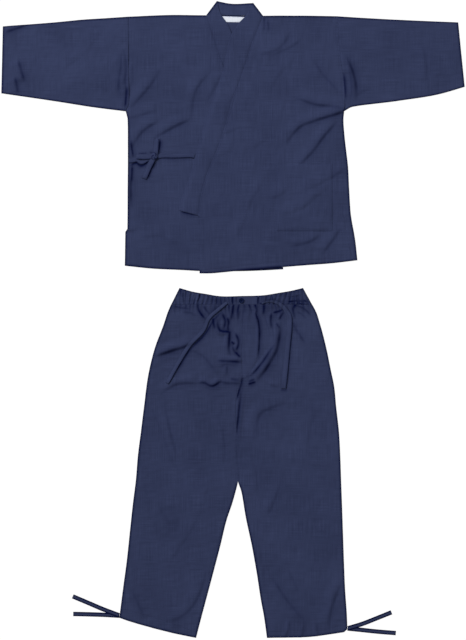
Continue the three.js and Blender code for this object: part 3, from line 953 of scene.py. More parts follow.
BACK = ((-304.6, 883.4), (-184, 888.1), (-77.4, 887.8), (87, 885.4), (196, 886.2), (305.4, 884.6),
    (312.4, 775.1), (321.2, 702.1), (325.9, 626.2), (324.1, 607.2), (322.2, 588.2), (324.6, 541.5),
    (329.8, 494.8), (338.8, 378), (343.4, 307.9), (355.4, 237.8), (361.4, 180.4), (195.6, 167.8),
    (23.4, 159), (-154.8, 159), (-312.4, 164.8), (-313, 255.4), (-307.2, 264.1), (-307.2, 588.2),
    (-312.4, 607.2), (-304.6, 624.7), (-304.6, 650))
FRONT_RIGHT = ((-304.6, 883.4), (-184, 888.1), (-77.7, 887.2), (-24.8, 728.4), (34.7, 567.8),
    (84.4, 448.1), (116.5, 378), (145.7, 303.8), (146, 146.6), (78.8, 143), (26.3, 141.3),
    (-96.4, 141.5), (-146, 144.3), (-236.5, 148.7), (-315.4, 156.8), (-313.9, 255.4), (-307.8, 264.1),
    (-307.8, 588.2), (-312.7, 607.2), (-304.6, 624.7), (-304.6, 650))
FRONT_LEFT = ((87.3, 885.1), (196, 886.2), (305.4, 884.6), (312.4, 775.1), (321.2, 702.1),
    (325.9, 626.2), (324.1, 607.2), (322.2, 588.2), (324.6, 541.5), (329.8, 494.8), (335.2, 448.1),
    (338.8, 378), (343.4, 307.9), (346.8, 284.6), (355.4, 237.8), (362.8, 172.9), (289.1, 164.2),
    (219, 158.8), (146, 153), (78.8, 147.8), (26.3, 143.5), (-26.3, 138), (-67.2, 134.6),
    (-97.2, 134.6), (-96.4, 299.2), (-101.9, 303.5), (-95.5, 351.7), (-80.9, 410.1), (-64.8, 452.5),
    (-45.6, 497.7), (-16.4, 588.2), (-4.7, 635), (18.7, 693.4), (36.2, 745.9), (50.8, 792.6))
COLLAR_BACK = ((-77.4, 888.1), (-46.7, 929), (-8.8, 921.7), (58.4, 923.2), (87, 885.8))
COLLAR_OVER = ((58.4, 923.2), (87, 885.8), (50.5, 792.6), (35.9, 745.9), (18.4, 693.4), (-5, 635),
    (-16.6, 588.2), (-45.8, 497.7), (-65.1, 452.5), (-81.2, 410.1), (-95.8, 351.7), (-102.2, 303.8),
    (-158, 318.4), (-151.8, 345.9), (-122.6, 430.6), (-112.1, 471.4), (-70.1, 611.6), (-35, 708),
    (-2.9, 833.5), (19.6, 867.4), (35, 883.2), (42.3, 894), (45, 913.5))
COLLAR_UNDER = ((-46.7, 929), (-36.2, 891.9), (-19.3, 867.4), (29.2, 748.8), (90.5, 591.2),
    (140.2, 471.4), (169.4, 398.4), (201.5, 319.6), (146, 303.8), (116.8, 378), (84.7, 448.1),
    (35, 567.8), (-24.5, 728.4), (-77.4, 888.1))
POCKET = ((125.6, 452.7), (289.1, 453.9), (290.2, 258.3), (126.7, 258.3))
NECK_LABEL = ((-39.4, 885.5), (40.9, 882.6), (40.9, 866.8), (-39.4, 868))
LEG_RIGHT = ((-180.4, 43.4), (22.2, 43.4), (22.2, -176.8), (10.8, -229.4), (10.8, -352), (14.3, -473.2),
    (8.4, -498), (-3.2, -538.9), (-17.2, -579.8), (-37.6, -661.5), (-59, -743.3), (-79.2, -819.2),
    (-90.2, -860.1), (-108, -929), (-165.6, -917.4), (-212.6, -906), (-311, -878), (-331.4, -870.4),
    (-321.2, -790), (-309.5, -702.4), (-300.8, -620.6), (-292, -538.9), (-283.2, -468.8),
    (-277.4, -398.7), (-268.6, -328.6), (-259.9, -258.6), (-245.3, -153.4), (-227.8, -83.4),
    (-201.5, -13.3), (-189.8, 21.8))
LEG_LEFT = ((22.5, 43.4), (230.8, 43.4), (242.2, 21.8), (253.7, -13.3), (272, -83.4), (286.4, -153.4),
    (293.8, -188.5), (301.2, -258.6), (309, -328.6), (312.8, -398.7), (315.2, -468.8), (317.8, -538.9),
    (320.6, -620.6), (323.4, -702.4), (327, -790), (332.2, -865.9), (333.4, -903.4), (324, -912.4),
    (274.5, -919.9), (227.8, -925.8), (99.3, -929), (90.5, -865.9), (81.8, -819.2), (70.1, -743.3),
    (55.5, -661.5), (38, -579.8), (23.4, -498), (14.9, -473.2), (11.1, -352), (11.1, -229.4),
    (22.5, -176.8))
SLEEVE_RIGHT = ((-304.5, 883.9), (-359.2, 880.2), (-446.8, 874.4), (-505.2, 868.6), (-671.6, 855.4),
    (-676, 659.8), (-505.2, 634.6), (-408.8, 619.4), (-313, 607.3), (-304.5, 624.7), (-304.5, 740))
SLEEVE_LEFT = ((305.4, 884.8), (429.2, 877.3), (551.9, 871.5), (657, 867.1), (676, 678.8), (604.4, 658),
    (481.8, 637.8), (341.6, 618), (324.3, 607.3), (325.9, 626.2), (321.2, 702.1), (312.4, 775.1))
WAISTBAND = ((-180.4, 43.5), (230.8, 43.5), (204.4, 91.8), (166.4, 83.1), (131.4, 77.2), (96.4, 71.4),
    (26.3, 68.5), (-43.8, 68.5), (-78.8, 74.3), (-113.9, 80.2), (-156.2, 91.8))
SUIT = (BACK, FRONT_RIGHT, FRONT_LEFT, COLLAR_BACK, COLLAR_OVER, COLLAR_UNDER, SLEEVE_RIGHT, SLEEVE_LEFT,
    LEG_RIGHT, LEG_LEFT, WAISTBAND)


def beside(outline: Points) -> list[Points]:
    """Give the outlines of the suit's other pieces."""
    return [other for other in SUIT if other is not outline]


# ---- Creases, each with the values of Crease in its order ----

# A crease of height 0 only paints a dark line, a painted shadow with no relief, such as beside a tie or a
# seam.
CREASES: dict[Cloth, tuple] = {}
CREASES[Cloth.SLEEVE_RIGHT] = (
    (1.8, ((-324, 804), (-315, 769), (-312, 740), (-315, 693), (-312, 664), (-316, 629), (-315, 600)), 8,
        0.35, 32, 0.8),
    (1.6, ((-326, 787), (-327, 740), (-334, 688), (-331, 641)), 12, 0.3),
    (0, ((-311, 688), (-311, 658), (-314, 629), (-315, 606)), 4, 0.85),
    (2.6, ((-628, 763), (-620, 734), (-606, 688)), 12, 0.6),
    (2.6, ((-637, 711), (-632, 688), (-626, 655)), 12, 0.65),
    (2, ((-672, 835), (-634, 848), (-581, 869)), 12, 0.7),
    (0.9, ((-394, 828), (-447, 763), (-517, 723)), 13, -1, 42),
    (0.8, ((-353, 664), (-429, 688), (-505, 676)), 13, -1, 42),
)
CREASES[Cloth.SLEEVE_LEFT] = (
    (0, ((322, 728), (326, 693), (328, 664), (329, 629)), 4, 0.85),
    (0, ((336, 740), (343, 705), (345, 664), (340, 629)), 9, 0.3),
    (4, ((324, 781), (339, 749), (352, 714), (359, 676), (358, 629)), 14, -1, 22),
    (1.5, ((552, 804), (561, 763), (565, 688)), 11),
    (1, ((581, 705), (607, 717), (634, 728))),
    (0.8, ((382, 834), (453, 781), (499, 711)), 13, -1, 40),
    (1.3, ((353, 647), (377, 664), (406, 676))),
)
CREASES[Cloth.FRONT_RIGHT] = (
    (1.6, ((-296, 752), (-293, 711), (-296, 670)), 10),
    (2.2, ((-207, 740), (-242, 682), (-272, 647), (-312, 603)), 14),
    (1.7, ((-318, 586), (-289, 590), (-254, 601), (-213, 610))),
    (2.4, ((-304, 489), (-286, 518), (-263, 549), (-236, 568), (-207, 582))),
    (2.7, ((-242, 524), (-213, 539), (-164, 566), (-131, 581), (-114, 591))),
    (1.8, ((-127, 577), (-120, 606), (-116, 641), (-104, 676), (-88, 699), (-56, 728))),
    (1.5, ((-30, 728), (-47, 688), (-64, 658), (-79, 629))),
    (1.2, ((-96, 564), (-58, 569), (-9, 580))),
    (2.2, ((-298, 530), (-296, 506), (-290, 466)), 9, 0.6),
    (2.6, ((-293, 466), (-293, 436), (-298, 401), (-296, 314)), 10, 0.45),
    (1.2, ((-324, 260), (-304, 259), (-277, 261)), 9),
    (0.9, ((-143, 822), (-131, 787), (-120, 752))),
    (1, ((-283, 419), (-242, 401), (-196, 407)), 13, -1, 40),
    (1.1, ((-272, 232), (-213, 244), (-161, 214)), 13, -1, 40),
    (0.9, ((-254, 337), (-219, 285), (-196, 232)), 13, -1, 40),
    (0, ((-234, 464), (-225, 466), (-216, 469), (-203, 471), (-178, 469), (-165, 470), (-141, 469),
        (-108, 467)), 3, 0.45),
    (0, ((-310, 446), (-296, 451), (-280, 457), (-276, 452), (-269, 448), (-252, 456), (-236, 467),
        (-225, 471)), 5, 1),
    (0, ((-213, 534), (-213, 513), (-216, 497), (-221, 488), (-224, 484), (-225, 466)), 5, 1),
    (0, ((-158, 315), (-134, 310), (-102, 302)), 3, 0.8),
    (0, ((-282, 482), (-263, 484), (-245, 485)), 3, 0.5),
    (0, ((-245, 495), (-238, 483), (-237, 461), (-251, 451)), 4, 0.7),
    (0, ((-252, 457), (-244, 461), (-234, 467)), 4, 1),
    (0, ((-294, 457), (-295, 431), (-296, 393)), 4, 0.8),
    (0, ((-297, 518), (-295, 498), (-290, 471)), 3, 0.7),
    (0, ((-225, 468), (-232, 453), (-238, 440), (-245, 423), (-255, 403)), 3, 0.95),
)
CREASES[Cloth.FRONT_LEFT] = (
    (1.5, ((89, 892), (91, 869), (90, 834)), 7, 0.35, 14),
    (1.3, ((100, 877), (103, 857), (103, 834)), 7, 0.3, 14),
    (1.7, ((67, 769), (96, 777), (131, 788), (155, 813), (168, 851))),
    (1.6, ((108, 769), (134, 780), (166, 793), (207, 825))),
    (1.9, ((216, 769), (234, 755), (260, 717), (292, 682), (321, 647))),
    (2.7, ((161, 652), (196, 642), (236, 628), (283, 622), (348, 614)), 12),
    (3.8, ((359, 626), (324, 607), (289, 595), (248, 583), (207, 568)), 12),
    (2.7, ((283, 594), (248, 582), (196, 562), (169, 533), (149, 501))),
    (2.8, ((321, 594), (298, 571), (263, 531), (232, 489), (207, 463), (178, 436))),
    (1.9, ((342, 448), (301, 423), (263, 401), (234, 385), (196, 369)), 16),
    (2, ((289, 401), (266, 375), (236, 355), (213, 332), (184, 317), (114, 306)), 16),
    (0.9, ((117, 460), (85, 396), (50, 337), (29, 276), (-15, 203))),
    (2.2, ((161, 213), (196, 219), (231, 230), (260, 252))),
    (2.2, ((318, 273), (298, 241), (274, 209), (257, 185))),
    (1.3, ((161, 384), (143, 366), (108, 352)), 12),
    (1.2, ((-32, 542), (-6, 549), (26, 562)), 11),
    (1, ((56, 495), (79, 514), (108, 527))),
    (0.9, ((-44, 474), (-20, 487), (9, 492))),
    (1, ((-70, 657), (-20, 664), (29, 667)), 12, 0.15),
    (1.1, ((196, 267), (248, 260), (301, 267)), 13, -1, 36),
    (0.9, ((-67, 308), (-32, 273), (-3, 220)), 13, -1, 40),
    (0.8, ((20, 752), (-3, 688), (-32, 629)), 13, -1, 40),
    (0.9, ((175, 752), (137, 717), (108, 664)), 13, -1, 40),
)
CREASES[Cloth.WAIST] = (
    (1.4, ((-97, 86), (-98, 66), (-103, 48), (-102, 33)), 5, 0.7, 8),
    (1, ((-123, 86), (-126, 66), (-122, 39)), 5, 0.2, 8),
    (1, ((-144, 89), (-146, 68), (-142, 39)), 5, 0.5, 8),
    (0.8, ((-70, 80), (-72, 60), (-70, 39)), 5, 0.1, 8),
    (0.8, ((-48, 77), (-50, 60), (-47, 39)), 5, 0.25, 8),
    (1.2, ((-1, 74), (-2, 60), (-1, 39)), 5, 0.9, 8),
    (0.8, ((15, 74), (10, 63), (13, 39)), 4, 0.3, 7),
    (1.2, ((74, 74), (73, 60), (72, 39)), 5, 0.8, 8),
    (1, ((164, 74), (165, 57), (164, 39)), 5, 0.55, 8),
    (0.8, ((155, 51), (172, 53), (193, 55)), 4, 0.8, 6),
    (0.8, ((164, 66), (181, 68), (204, 74)), 4, 0.35, 6),
    (0.9, ((111, 74), (115, 63), (114, 39)), 5, 0.55, 8),
    (0.9, ((187, 80), (185, 63), (188, 39)), 5, 0.4, 8),
    (0, ((69, 49), (79, 47), (92, 47), (102, 55), (114, 55), (128, 48)), 3, 1),
    (0, ((187, 57), (202, 53), (219, 56)), 3, 0.6),
    (0, ((187, 48), (203, 44), (219, 43)), 3, 0.8),
    (0, ((204, 60), (210, 54), (219, 51)), 3, 0.6),
)
CREASES[Cloth.LEG_LEFT] = (
    (0, ((175, 42), (196, 37), (213, 27), (231, 7)), 5, 0.55),
    (0, ((181, 25), (200, 16), (216, 0)), 5, 0.3),
    (0, ((168, 33), (170, 16), (170, -29), (169, -62), (165, -98), (159, -168), (156, -209)), 3, 0.6),
    (0, ((136, -205), (146, -206), (161, -206)), 3, 0.5),
    (4.6, ((140, 4), (137, -31), (134, -57), (126, -92), (113, -116), (93, -149), (72, -177), (67, -197)),
        15, 0.65, 20),
    (2.6, ((130, -63), (111, -87), (89, -120), (72, -142), (54, -161), (29, -174)), 6, 0.75, 9),
    (3.2, ((76, 60), (71, 33), (67, 18), (73, -2), (77, -28), (77, -57), (75, -92), (72, -130)), 6, 1, 10),
    (1.8, ((22, -7), (22, -42), (22, -83), (23, -124)), 5, 0.4, 10, 0.5),
    (2.6, ((28, -159), (26, -173), (23, -191), (16, -211), (9, -241)), 7, 1, 10),
    (2.6, ((26, -194), (23, -218), (19, -247), (13, -305), (5, -364)), 7, 0.8, 14, 0.6),
    (1.6, ((13, -305), (3, -364), (-6, -416), (-15, -486)), 8, 0.4, 16, 0.6),
    (1.6, ((41, -190), (53, -186), (70, -181)), 6, 1, 6),
    (1.2, ((43, -182), (53, -178), (66, -173)), 4, 0.6, 5),
    (2.2, ((166, -238), (137, -249), (108, -259), (79, -276), (70, -305), (70, -352)), 16, 0.2),
    (1.6, ((102, -190), (120, -194), (137, -198)), 8, 0.1, 12),
    (2.2, ((169, 4), (181, -25), (196, -48), (216, -78)), 13, 0.4),
    (2.2, ((90, 51), (90, 33), (88, 10)), 8, 1, 8),
    (1.8, ((113, 25), (111, 10), (110, -4), (114, -31)), 7, 0.8, 10),
    (1.8, ((111, 18), (126, 22), (140, 26), (154, 38)), 6, 0.95, 9),
    (1.8, ((133, -4), (140, 10), (150, 26)), 6, 0.7, 9),
    (1.2, ((126, -7), (131, -19), (140, -26)), 7, 0.5, 10),
    (1.2, ((50, 28), (47, 4), (51, -25)), 8, 0.05, 14),
    (1.6, ((174, 42), (176, 22), (182, -2)), 7, 0.6, 10),
    (2.6, ((96, -732), (126, -772), (155, -816), (184, -851), (222, -898)), 15, 0.2),
    (2.6, ((321, -755), (304, -796), (289, -837), (277, -913)), 15, 0.2),
    (1.5, ((143, -463), (123, -521), (99, -580))),
    (1.4, ((161, -732), (178, -767), (193, -802))),
    (1.8, ((149, -936), (161, -907), (166, -872)), 8, 0.15, 12),
    (1.8, ((196, -942), (204, -913), (207, -883)), 8, 0.15, 12),
    (1.6, ((248, -942), (248, -913), (242, -883)), 8, 0.15, 12),
    (1, ((248, -241), (225, -323), (213, -416)), 13, -1, 40),
    (0.9, ((260, -510), (236, -586), (225, -667)), 13, -1, 40),
    (1, ((50, -387), (67, -457), (73, -533)), 13, -1, 40),
)
CREASES[Cloth.LEG_RIGHT] = (
    (0, ((-13, 51), (-14, 34), (-39, 16), (-60, -6), (-70, -25), (-86, -48), (-106, -68), (-126, -89),
        (-149, -124), (-193, -194)), 3, 0.95),
    (0, ((-26, 54), (-47, 35), (-73, 6), (-93, -25)), 3, 0.45),
    (5.4, ((-234, -110), (-213, -103), (-178, -91), (-137, -78), (-108, -63)), 12, 0.65, 26),
    (1.6, ((-137, -86), (-114, -93), (-88, -107), (-67, -130), (-44, -165)), 13, 0.22),
    (2.8, ((-219, -226), (-196, -206), (-166, -190), (-108, -186), (-82, -185)), 13, 0.25, 26),
    (3.4, ((-108, -186), (-82, -185), (-72, -191), (-61, -194), (-50, -190), (-40, -183), (-23, -180)), 8,
        0.85, 16),
    (1.6, ((-41, -181), (-18, -186), (9, -186), (29, -188)), 8, 0.45, 16),
    (3.2, ((-53, -118), (-32, -121), (-9, -122), (9, -123), (35, -124)), 11, 0.8, 16),
    (1.6, ((-44, -139), (-20, -132), (20, -137)), 10, 0.25, 16),
    (3.6, ((-48, 16), (-46, -2), (-42, -25), (-37, -33), (-20, -35), (-10, -38), (-11, -55), (-12, -92),
        (-9, -101), (4, -111)), 10, 1, 13),
    (2.2, ((-60, 10), (-58, -2), (-57, -12), (-51, -33)), 9, 0.95, 9),
    (2.6, ((-30, 25), (-29, 12), (-23, -2), (-24, -16), (-28, -33)), 9, 1, 9),
    (2.4, ((-22, 11), (-16, 2), (-13, -7), (-15, -25), (-10, -42)), 7, 1, 8),
    (2.2, ((1, 45), (-1, 28), (-4, 10), (-7, -6)), 8, 0.95, 9),
    (1.2, ((19, 30), (16, 16), (15, -4)), 6, 0.4, 9),
    (2.6, ((3, -34), (9, -45), (15, -58), (16, -72), (10, -88), (5, -98)), 9, 1, 8),
    (1.6, ((-6, -63), (0, -69), (6, -73)), 6, 0.85, 7),
    (2.2, ((4, -92), (12, -101), (18, -107), (24, -113)), 7, 1, 8),
    (1.8, ((-3, -75), (2, -89), (8, -104)), 6, 0.55, 8),
    (1.2, ((-17, -130), (-18, -145), (-17, -165)), 7, 0.3, 12),
    (1.2, ((-12, -171), (3, -175), (22, -177)), 7, 0.4, 12),
    (1.5, ((-50, -259), (-37, -305), (-27, -352), (-26, -445)), 11, 0.1),
    (2.1, ((-204, -241), (-192, -288), (-179, -346), (-155, -422)), 13, 0.14),
    (1.2, ((-254, -229), (-222, -294), (-202, -346), (-184, -399), (-146, -463))),
    (3, ((-102, 71), (-103, 48), (-101, 30), (-92, 14), (-73, -6)), 9, 0.95, 11),
    (2, ((-89, 45), (-80, 29), (-63, 10)), 7, 0.6, 10),
    (1.8, ((-184, 42), (-155, 35), (-117, 30)), 9, 0.55, 16),
    (1.4, ((-152, 22), (-126, 20), (-102, 5)), 9, 0.3, 14),
    (1.7, ((-73, -714), (-85, -761), (-99, -802), (-126, -846), (-155, -869), (-202, -886)), 14, 0.2),
    (1.8, ((-298, -784), (-279, -825), (-254, -878)), 13, 0.16),
    (1, ((-90, -551), (-126, -621), (-161, -673), (-204, -743)), 13, -1, 40),
    (1.2, ((-222, -533), (-202, -571), (-169, -621))),
    (1, ((-272, -440), (-248, -527), (-242, -615)), 13, -1, 40),
    (0.9, ((-61, -457), (-85, -527), (-96, -586)), 13, -1, 40),
)

# ---- Seams, each with the turned-under edge on its left ----

SEAMS: dict[Cloth, tuple[Seam, ...]] = {}
SEAMS[Cloth.FRONT_RIGHT] = (
    Seam(((-318.3, 161.9), (-230.7, 151.4), (-146, 147.3), (26.3, 144.4))),  # hem
    Seam(((-302.5, 167.8), (-301.3, 255.4))),  # vent
    Seam(((-74.8, 883.2), (-26.3, 734.2), (35, 570.7)), rows=(-2.4,)),  # along the collar
    Seam(((-302.5, 881.4), (-301.3, 757.6), (-302.5, 623.3)), rows=(-3,), groove=0.2),  # armhole
)
SEAMS[Cloth.FRONT_LEFT] = (
    Seam(((-96.4, 144.4), (-26.3, 150.2), (73, 161.9), (195.6, 171.8), (359.2, 182.4))),  # hem
    Seam(((-86.4, 293.3), (-85.8, 150.2))),  # straight front edge
    Seam(((348.6, 182.4), (338.7, 214.5), (328.8, 267), (323.5, 302.1))),  # vent
    # along the collar
    Seam(((80.6, 874.4), (52.6, 792.6), (38, 751.8), (21.6, 709.4), (-1.2, 632), (-13.4, 588.2),
        (-42.6, 497.7), (-63.1, 452.2), (-78.8, 410.1), (-93.4, 351.7), (-100.4, 307.9)), rows=(1.4,)),
    # armhole
    Seam(((303.1, 881.4), (310.1, 773.4), (319.4, 699.2), (324.1, 626.2)), rows=(-3,), groove=0.5),
)
SEAMS[Cloth.SLEEVE_RIGHT] = (
    Seam(((-307.8, 881.4), (-307.8, 757.6), (-307.8, 605.8)), rows=(1.4,), groove=0.15),  # armhole
    Seam(((-655.8, 851), (-658.2, 655.4)), lip=0.35, turn=22),  # cuff
)
SEAMS[Cloth.SLEEVE_LEFT] = (
    # armhole
    Seam(((307.8, 881.4), (314.8, 773.4), (324.1, 699.2), (328.8, 626.2)), rows=(-1.4,), groove=0.5),
    Seam(((641.8, 845.2), (658.8, 664.2))),  # cuff
)
SEAMS[Cloth.LEG_LEFT] = (
    Seam(((67.2, 39.3), (74.2, 4.2), (78.3, -48.3), (75.3, -95), (64.2, -135.9), (40.9, -168),
        (23.4, -182.6)), rows=(0, -2.6), groove=0.55, pucker=0.3),  # fly
    Seam(((27.4, 42.2), (27.4, -173.9))),  # centre seam
    Seam(((18.1, -188.5), (15.8, -352), (19.3, -471.7), (40.9, -579.8), (71.2, -702.4), (87.6, -825),
        (96.4, -924.3)), rows=(-1.2, -7.4), pucker=0.3),  # inside leg
    Seam(((102.2, -912.6), (195.6, -909.1), (277.4, -903.9), (328.8, -886.4))),  # hem
)
SEAMS[Cloth.LEG_RIGHT] = (
    Seam(((9.3, -188.5), (7.6, -352), (8.8, -468.8), (-20.4, -579.8), (-61.3, -702.4), (-90.5, -836.7),
        (-106.9, -918.5)), rows=(1.2,), pucker=0.3),  # inside leg
    Seam(((-325.3, -843.7), (-242.4, -865.9), (-106.3, -913.2)), lip=0.3, turn=0),  # hem
)


# ---- Heights of the layers ----


@dataclass(frozen=True)
class Steps:
    """Where the layers climb over each other, each as the start and stop of a slope."""

    collar_rise: tuple[float, float] = (713.8, 816)
    wrap_slope: float = 70
    tie: tuple[float, float] = (-152, -117)
    knot: tuple[float, float] = (16, 40)
    fork: tuple[float, float] = (55, 95)
    flat_waist: tuple[float, float] = (11.7, 75.9)


STEPS = Steps()
WRAP_Y = (144.4, 246.6, 305, 436.4, 553.2, 655.4, 757.6, 886.1)  # the wrap's hidden edge, up the front
WRAP_X = (195.6, 230.7, 230.7, 189.8, 137.2, 93.4, 84.7, 113.9)
KNOT_AT = (-228.9, 475.5)
BUTTON_AT = (24.8, 55.3)


class Relief:
    """The creases and the gentle ripple of one piece of cloth, and its sewing."""

    def __init__(
        self, cloth: Cloth, ripple: Ripple, more: Sequence[Crease] = (), shade: Surface | None = None
    ) -> None:
        """Gather what is pressed or sewn into the cloth.

        Args:
            cloth: The piece of cloth.
            ripple: Its unevenness.
            more: Creases that the table doesn't hold.
            shade: The painted shade of the cloth before its creases' painted shade is added.
        """
        self.shade = shade
        self.creases = [*(Crease(*row) for row in CREASES.get(cloth, ())), *more]
        self.seams = SEAMS.get(cloth, ())
        self.ripple = ripple

    def lift(self, x: Array, y: Array) -> Array:
        """Give how far creases and ripple lift the cloth."""
        return np.sqrt(sum(crease.lift(x, y) ** 2 for crease in self.creases)) + self.ripple(x, y)

    def trough(self, x: Array, y: Array) -> Array:
        """Find the painted shade in the cloth's creases.

        Args:
            x, y: Where the points are.

        Returns:
            The painted shade at each point, from 0 to 1.
        """
        deepest = self.shade(x, y) if self.shade else np.zeros(x.shape)
        for crease in self.creases:
            depth = crease.depth(x, y)
            deepest = np.maximum(deepest, depth) + 0.3 * np.minimum(deepest, depth)
        return np.clip(deepest, 0, 1)

    def sewn(self, x: Array, y: Array) -> Array:
        """Give the thickness of the cloth with its seams."""
        return CLOTH + sum(seam.relief(x, y) for seam in self.seams)

    def features(self) -> list[Array]:
        """Give the lines that the mesh follows."""
        return [line for seam in self.seams for line in seam.features()]


def gathers(start: float, stop: float, count: int) -> list[Crease]:
    """Make the short gathers that hang from the waist seam, uneven in length and height.

    Args:
        start: The x of the first.
        stop: The x of the last.
        count: How many there are.

    Returns:
        The gathers as creases.
    """
    result = []
    for i in range(count):
        x = start + (stop - start) * (i + 0.3 * math.sin(5 * i)) / (count - 1)
        end = WAIST_SEAM - 16 - 9 * ((i * 5) % 5)
        lean = 0.06 * (x - 5)
        height = 1.1 + 0.35 * ((i * 7) % 4)
        line = ((x - lean, 2 * WAIST_SEAM - end), (x, WAIST_SEAM), (x + lean, end))
        result.append(Crease(height, line, steep=6, gentle=9, far=0.3))
    return result


def gathered_shade(x: Array, y: Array) -> Array:
    """Paint shade into the fine gathers under the waistband.

    Args:
        x, y: Where the points are.

    Returns:
        The painted shade at each point, from 0 to 1.
    """
    near = smooth(-78, WAIST_SEAM - 8, y) * np.exp(-(((x - 30) / 110) ** 2))
    near += 1.2 * smooth(6, WAIST_SEAM, y)
    near *= 1 + 0.3 * smooth(50, 110, x) * smooth(215, 185, x)
    lean = x + 0.12 * (y - 40) * np.sin(x / 55)
    waves = 0.5 + 0.5 * np.sin(lean / 2.6 + 3.1 * np.sin(lean / 21) + 1.6 * np.sin(y / 17 + lean / 13))
    patches = 0.5 + 0.5 * np.sin(lean / 15 + 1.3) * np.sin(y / 19 + lean / 31)
    return near * (0.08 + 0.62 * waves**3 * patches**1.5)


RIGHT_FRONT = Relief(Cloth.FRONT_RIGHT, Ripple(1.8, 3))
LEFT_FRONT = Relief(Cloth.FRONT_LEFT, Ripple(1.8, 4))
RIGHT_SLEEVE = Relief(Cloth.SLEEVE_RIGHT, Ripple(1.8, 5))
LEFT_SLEEVE = Relief(Cloth.SLEEVE_LEFT, Ripple(1.8, 6))
RIGHT_LEG = Relief(Cloth.LEG_RIGHT, Ripple(1.8, 7), gathers(-168, 12, 17), gathered_shade)
LEFT_LEG = Relief(Cloth.LEG_LEFT, Ripple(1.8, 8), gathers(76, 222, 15), gathered_shade)
WAIST = Relief(Cloth.WAIST, Ripple(0.0, 9))


def table(x: Array, y: Array) -> Array:
    """Give the height of the table."""
    return np.zeros(x.shape)


def soft_underside(relief: Relief) -> Surface:
    """Give an underside that rests on the table, with shallow troughs where the front is creased."""
    return lambda x, y: 0.45 * smooth(0.6, 3.0, relief.lift(x, y))


def under_collar(x: Array, y: Array) -> Array:
    """Give the underside of the collar's hidden half."""
    return FRONT_LEVEL + (UNDER_COLLAR_NECK - FRONT_LEVEL) * smooth(*STEPS.collar_rise, y)


def over_collar(x: Array, y: Array) -> Array:
    """Give the underside of the collar's half that shows."""
    return under_collar(x, y) + BAND + GAP


def right_front(x: Array, y: Array) -> Array:
    """Give the underside of the front that lies underneath."""
    return FRONT_LEVEL + RIGHT_FRONT.lift(x, y)


def left_front(x: Array, y: Array) -> Array:
    """Give the underside of the front that wraps over."""
    wrapped = 1 - smooth(0, STEPS.wrap_slope, x - np.interp(y, WRAP_Y, WRAP_X))
    return FRONT_LEVEL + (over_collar(x, y) - FRONT_LEVEL) * wrapped + LEFT_FRONT.lift(x, y)


def waist_free(x: Array) -> Array:
    """Give how free the waistband is to gather, from 0 where it is buttoned to 1."""
    start, stop = STEPS.flat_waist
    return smooth(0, GATHER_PITCH, np.maximum(np.maximum(start - x, x - stop), 0))


def waist_waves(x: Array, y: Array) -> tuple[Array, Array]:
    """Gather the waistband.

    Args:
        x, y: Where the points are.

    Returns:
        The coarse and the fine gathers at each point, from 0 to 1.
    """
    free = waist_free(x)
    slant = x + 0.3 * (y - 60) * np.sin(x / 37 + 1)
    wave = np.sin(np.pi * (slant / GATHER_PITCH + 0.3 * np.sin(slant / 41))) ** 2
    fine = np.sin(np.pi * (slant / 7.1 + 0.6 * np.sin(slant / 19 + y / 30))) ** 2
    uneven = 0.6 + 0.4 * np.sin(slant / 17 + y / 24)
    return free * wave * (0.7 + 0.3 * np.sin(slant / 17)), free * fine * uneven


def waist_upper(x: Array, y: Array) -> Array:
    """Give the gathered top of the waistband."""
    wave, fine = waist_waves(x, y)
    held = 1 - 0.3 * np.exp(-(((y - 51) / 3) ** 2)) - 0.3 * np.exp(-(((y - 66) / 3) ** 2))
    return WAIST_TOP + (GATHER_HEIGHT * wave + 1.1 * fine + WAIST.lift(x, y)) * held


def waist_trough(x: Array, y: Array) -> Array:
    """Find the painted shade between the waistband's gathers.

    Args:
        x, y: Where the points are.

    Returns:
        The painted shade at each point, from 0 to 1.
    """
    wave, fine = waist_waves(x, y)
    between = 0.1 + 0.34 * (1 - wave / 0.7).clip(0, 1) ** 2 + 0.26 * (1 - fine).clip(0, 1) ** 2
    between *= 0.75 + 0.5 * np.sin(x / 19 + 0.7) * np.sin(y / 9 + x / 33) + 0.35 * smooth(50, 110, x)
    return np.maximum(waist_free(x) * between, WAIST.trough(x, y))


def leg_level(relief: Relief, x: Array, y: Array) -> Array:
    """Give the underside of a leg's front, which rises to the gathers of the waistband."""
    rise = smooth(WAIST_SEAM - 30, WAIST_SEAM, y)
    gathered = waist_upper(x, np.full(x.shape, WAIST_SEAM + 2.0)) - CLOTH
    return (FRONT_LEVEL + relief.lift(x, y) * (1 - 0.7 * rise)) * (1 - rise) + gathered * rise


right_leg = partial(leg_level, RIGHT_LEG)
left_leg = partial(leg_level, LEFT_LEG)


def collar_step(x: Array, y: Array) -> tuple[Array, Array]:
    """Measure the collar from its edges.

    Args:
        x, y: Where the points are.

    Returns:
        How close each point is to the sewn edges and to the free edge, from 0 to 1.
    """
    sewn, free = np.zeros(x.shape), np.zeros(x.shape)
    for seam in (COLLAR_OVER[1:12], COLLAR_UNDER[8:14]):
        away, _ = along_line(np.asarray(seam, float), x, y)
        sewn = np.maximum(sewn, 1 - smooth(0, 9, np.abs(away)))
    for edge in (COLLAR_OVER[12:20], COLLAR_UNDER[2:8]):
        away, _ = along_line(np.asarray(edge, float), x, y)
        free = np.maximum(free, (1 - smooth(0, 15, np.abs(away))) * (1 - smooth(790, 850, y)))
    return sewn, free


def collar_thickness(x: Array, y: Array) -> Array:
    """Give the collar's thickness, pressed flatter along its seams and at its free edge."""
    sewn, free = collar_step(x, y)
    return BAND - 1.0 * sewn - 0.7 * free


def over_collar_drape(x: Array, y: Array) -> Array:
    """Give the underside of the collar's half that shows, whose free edge sinks to the front beneath."""
    return over_collar(x, y) - 0.9 * collar_step(x, y)[1]


def onto(layer: Surface, thickness: float) -> Surface:
    """Give the underside of what lies on a layer of cloth."""
    return lambda x, y: layer(x, y) + thickness + GAP


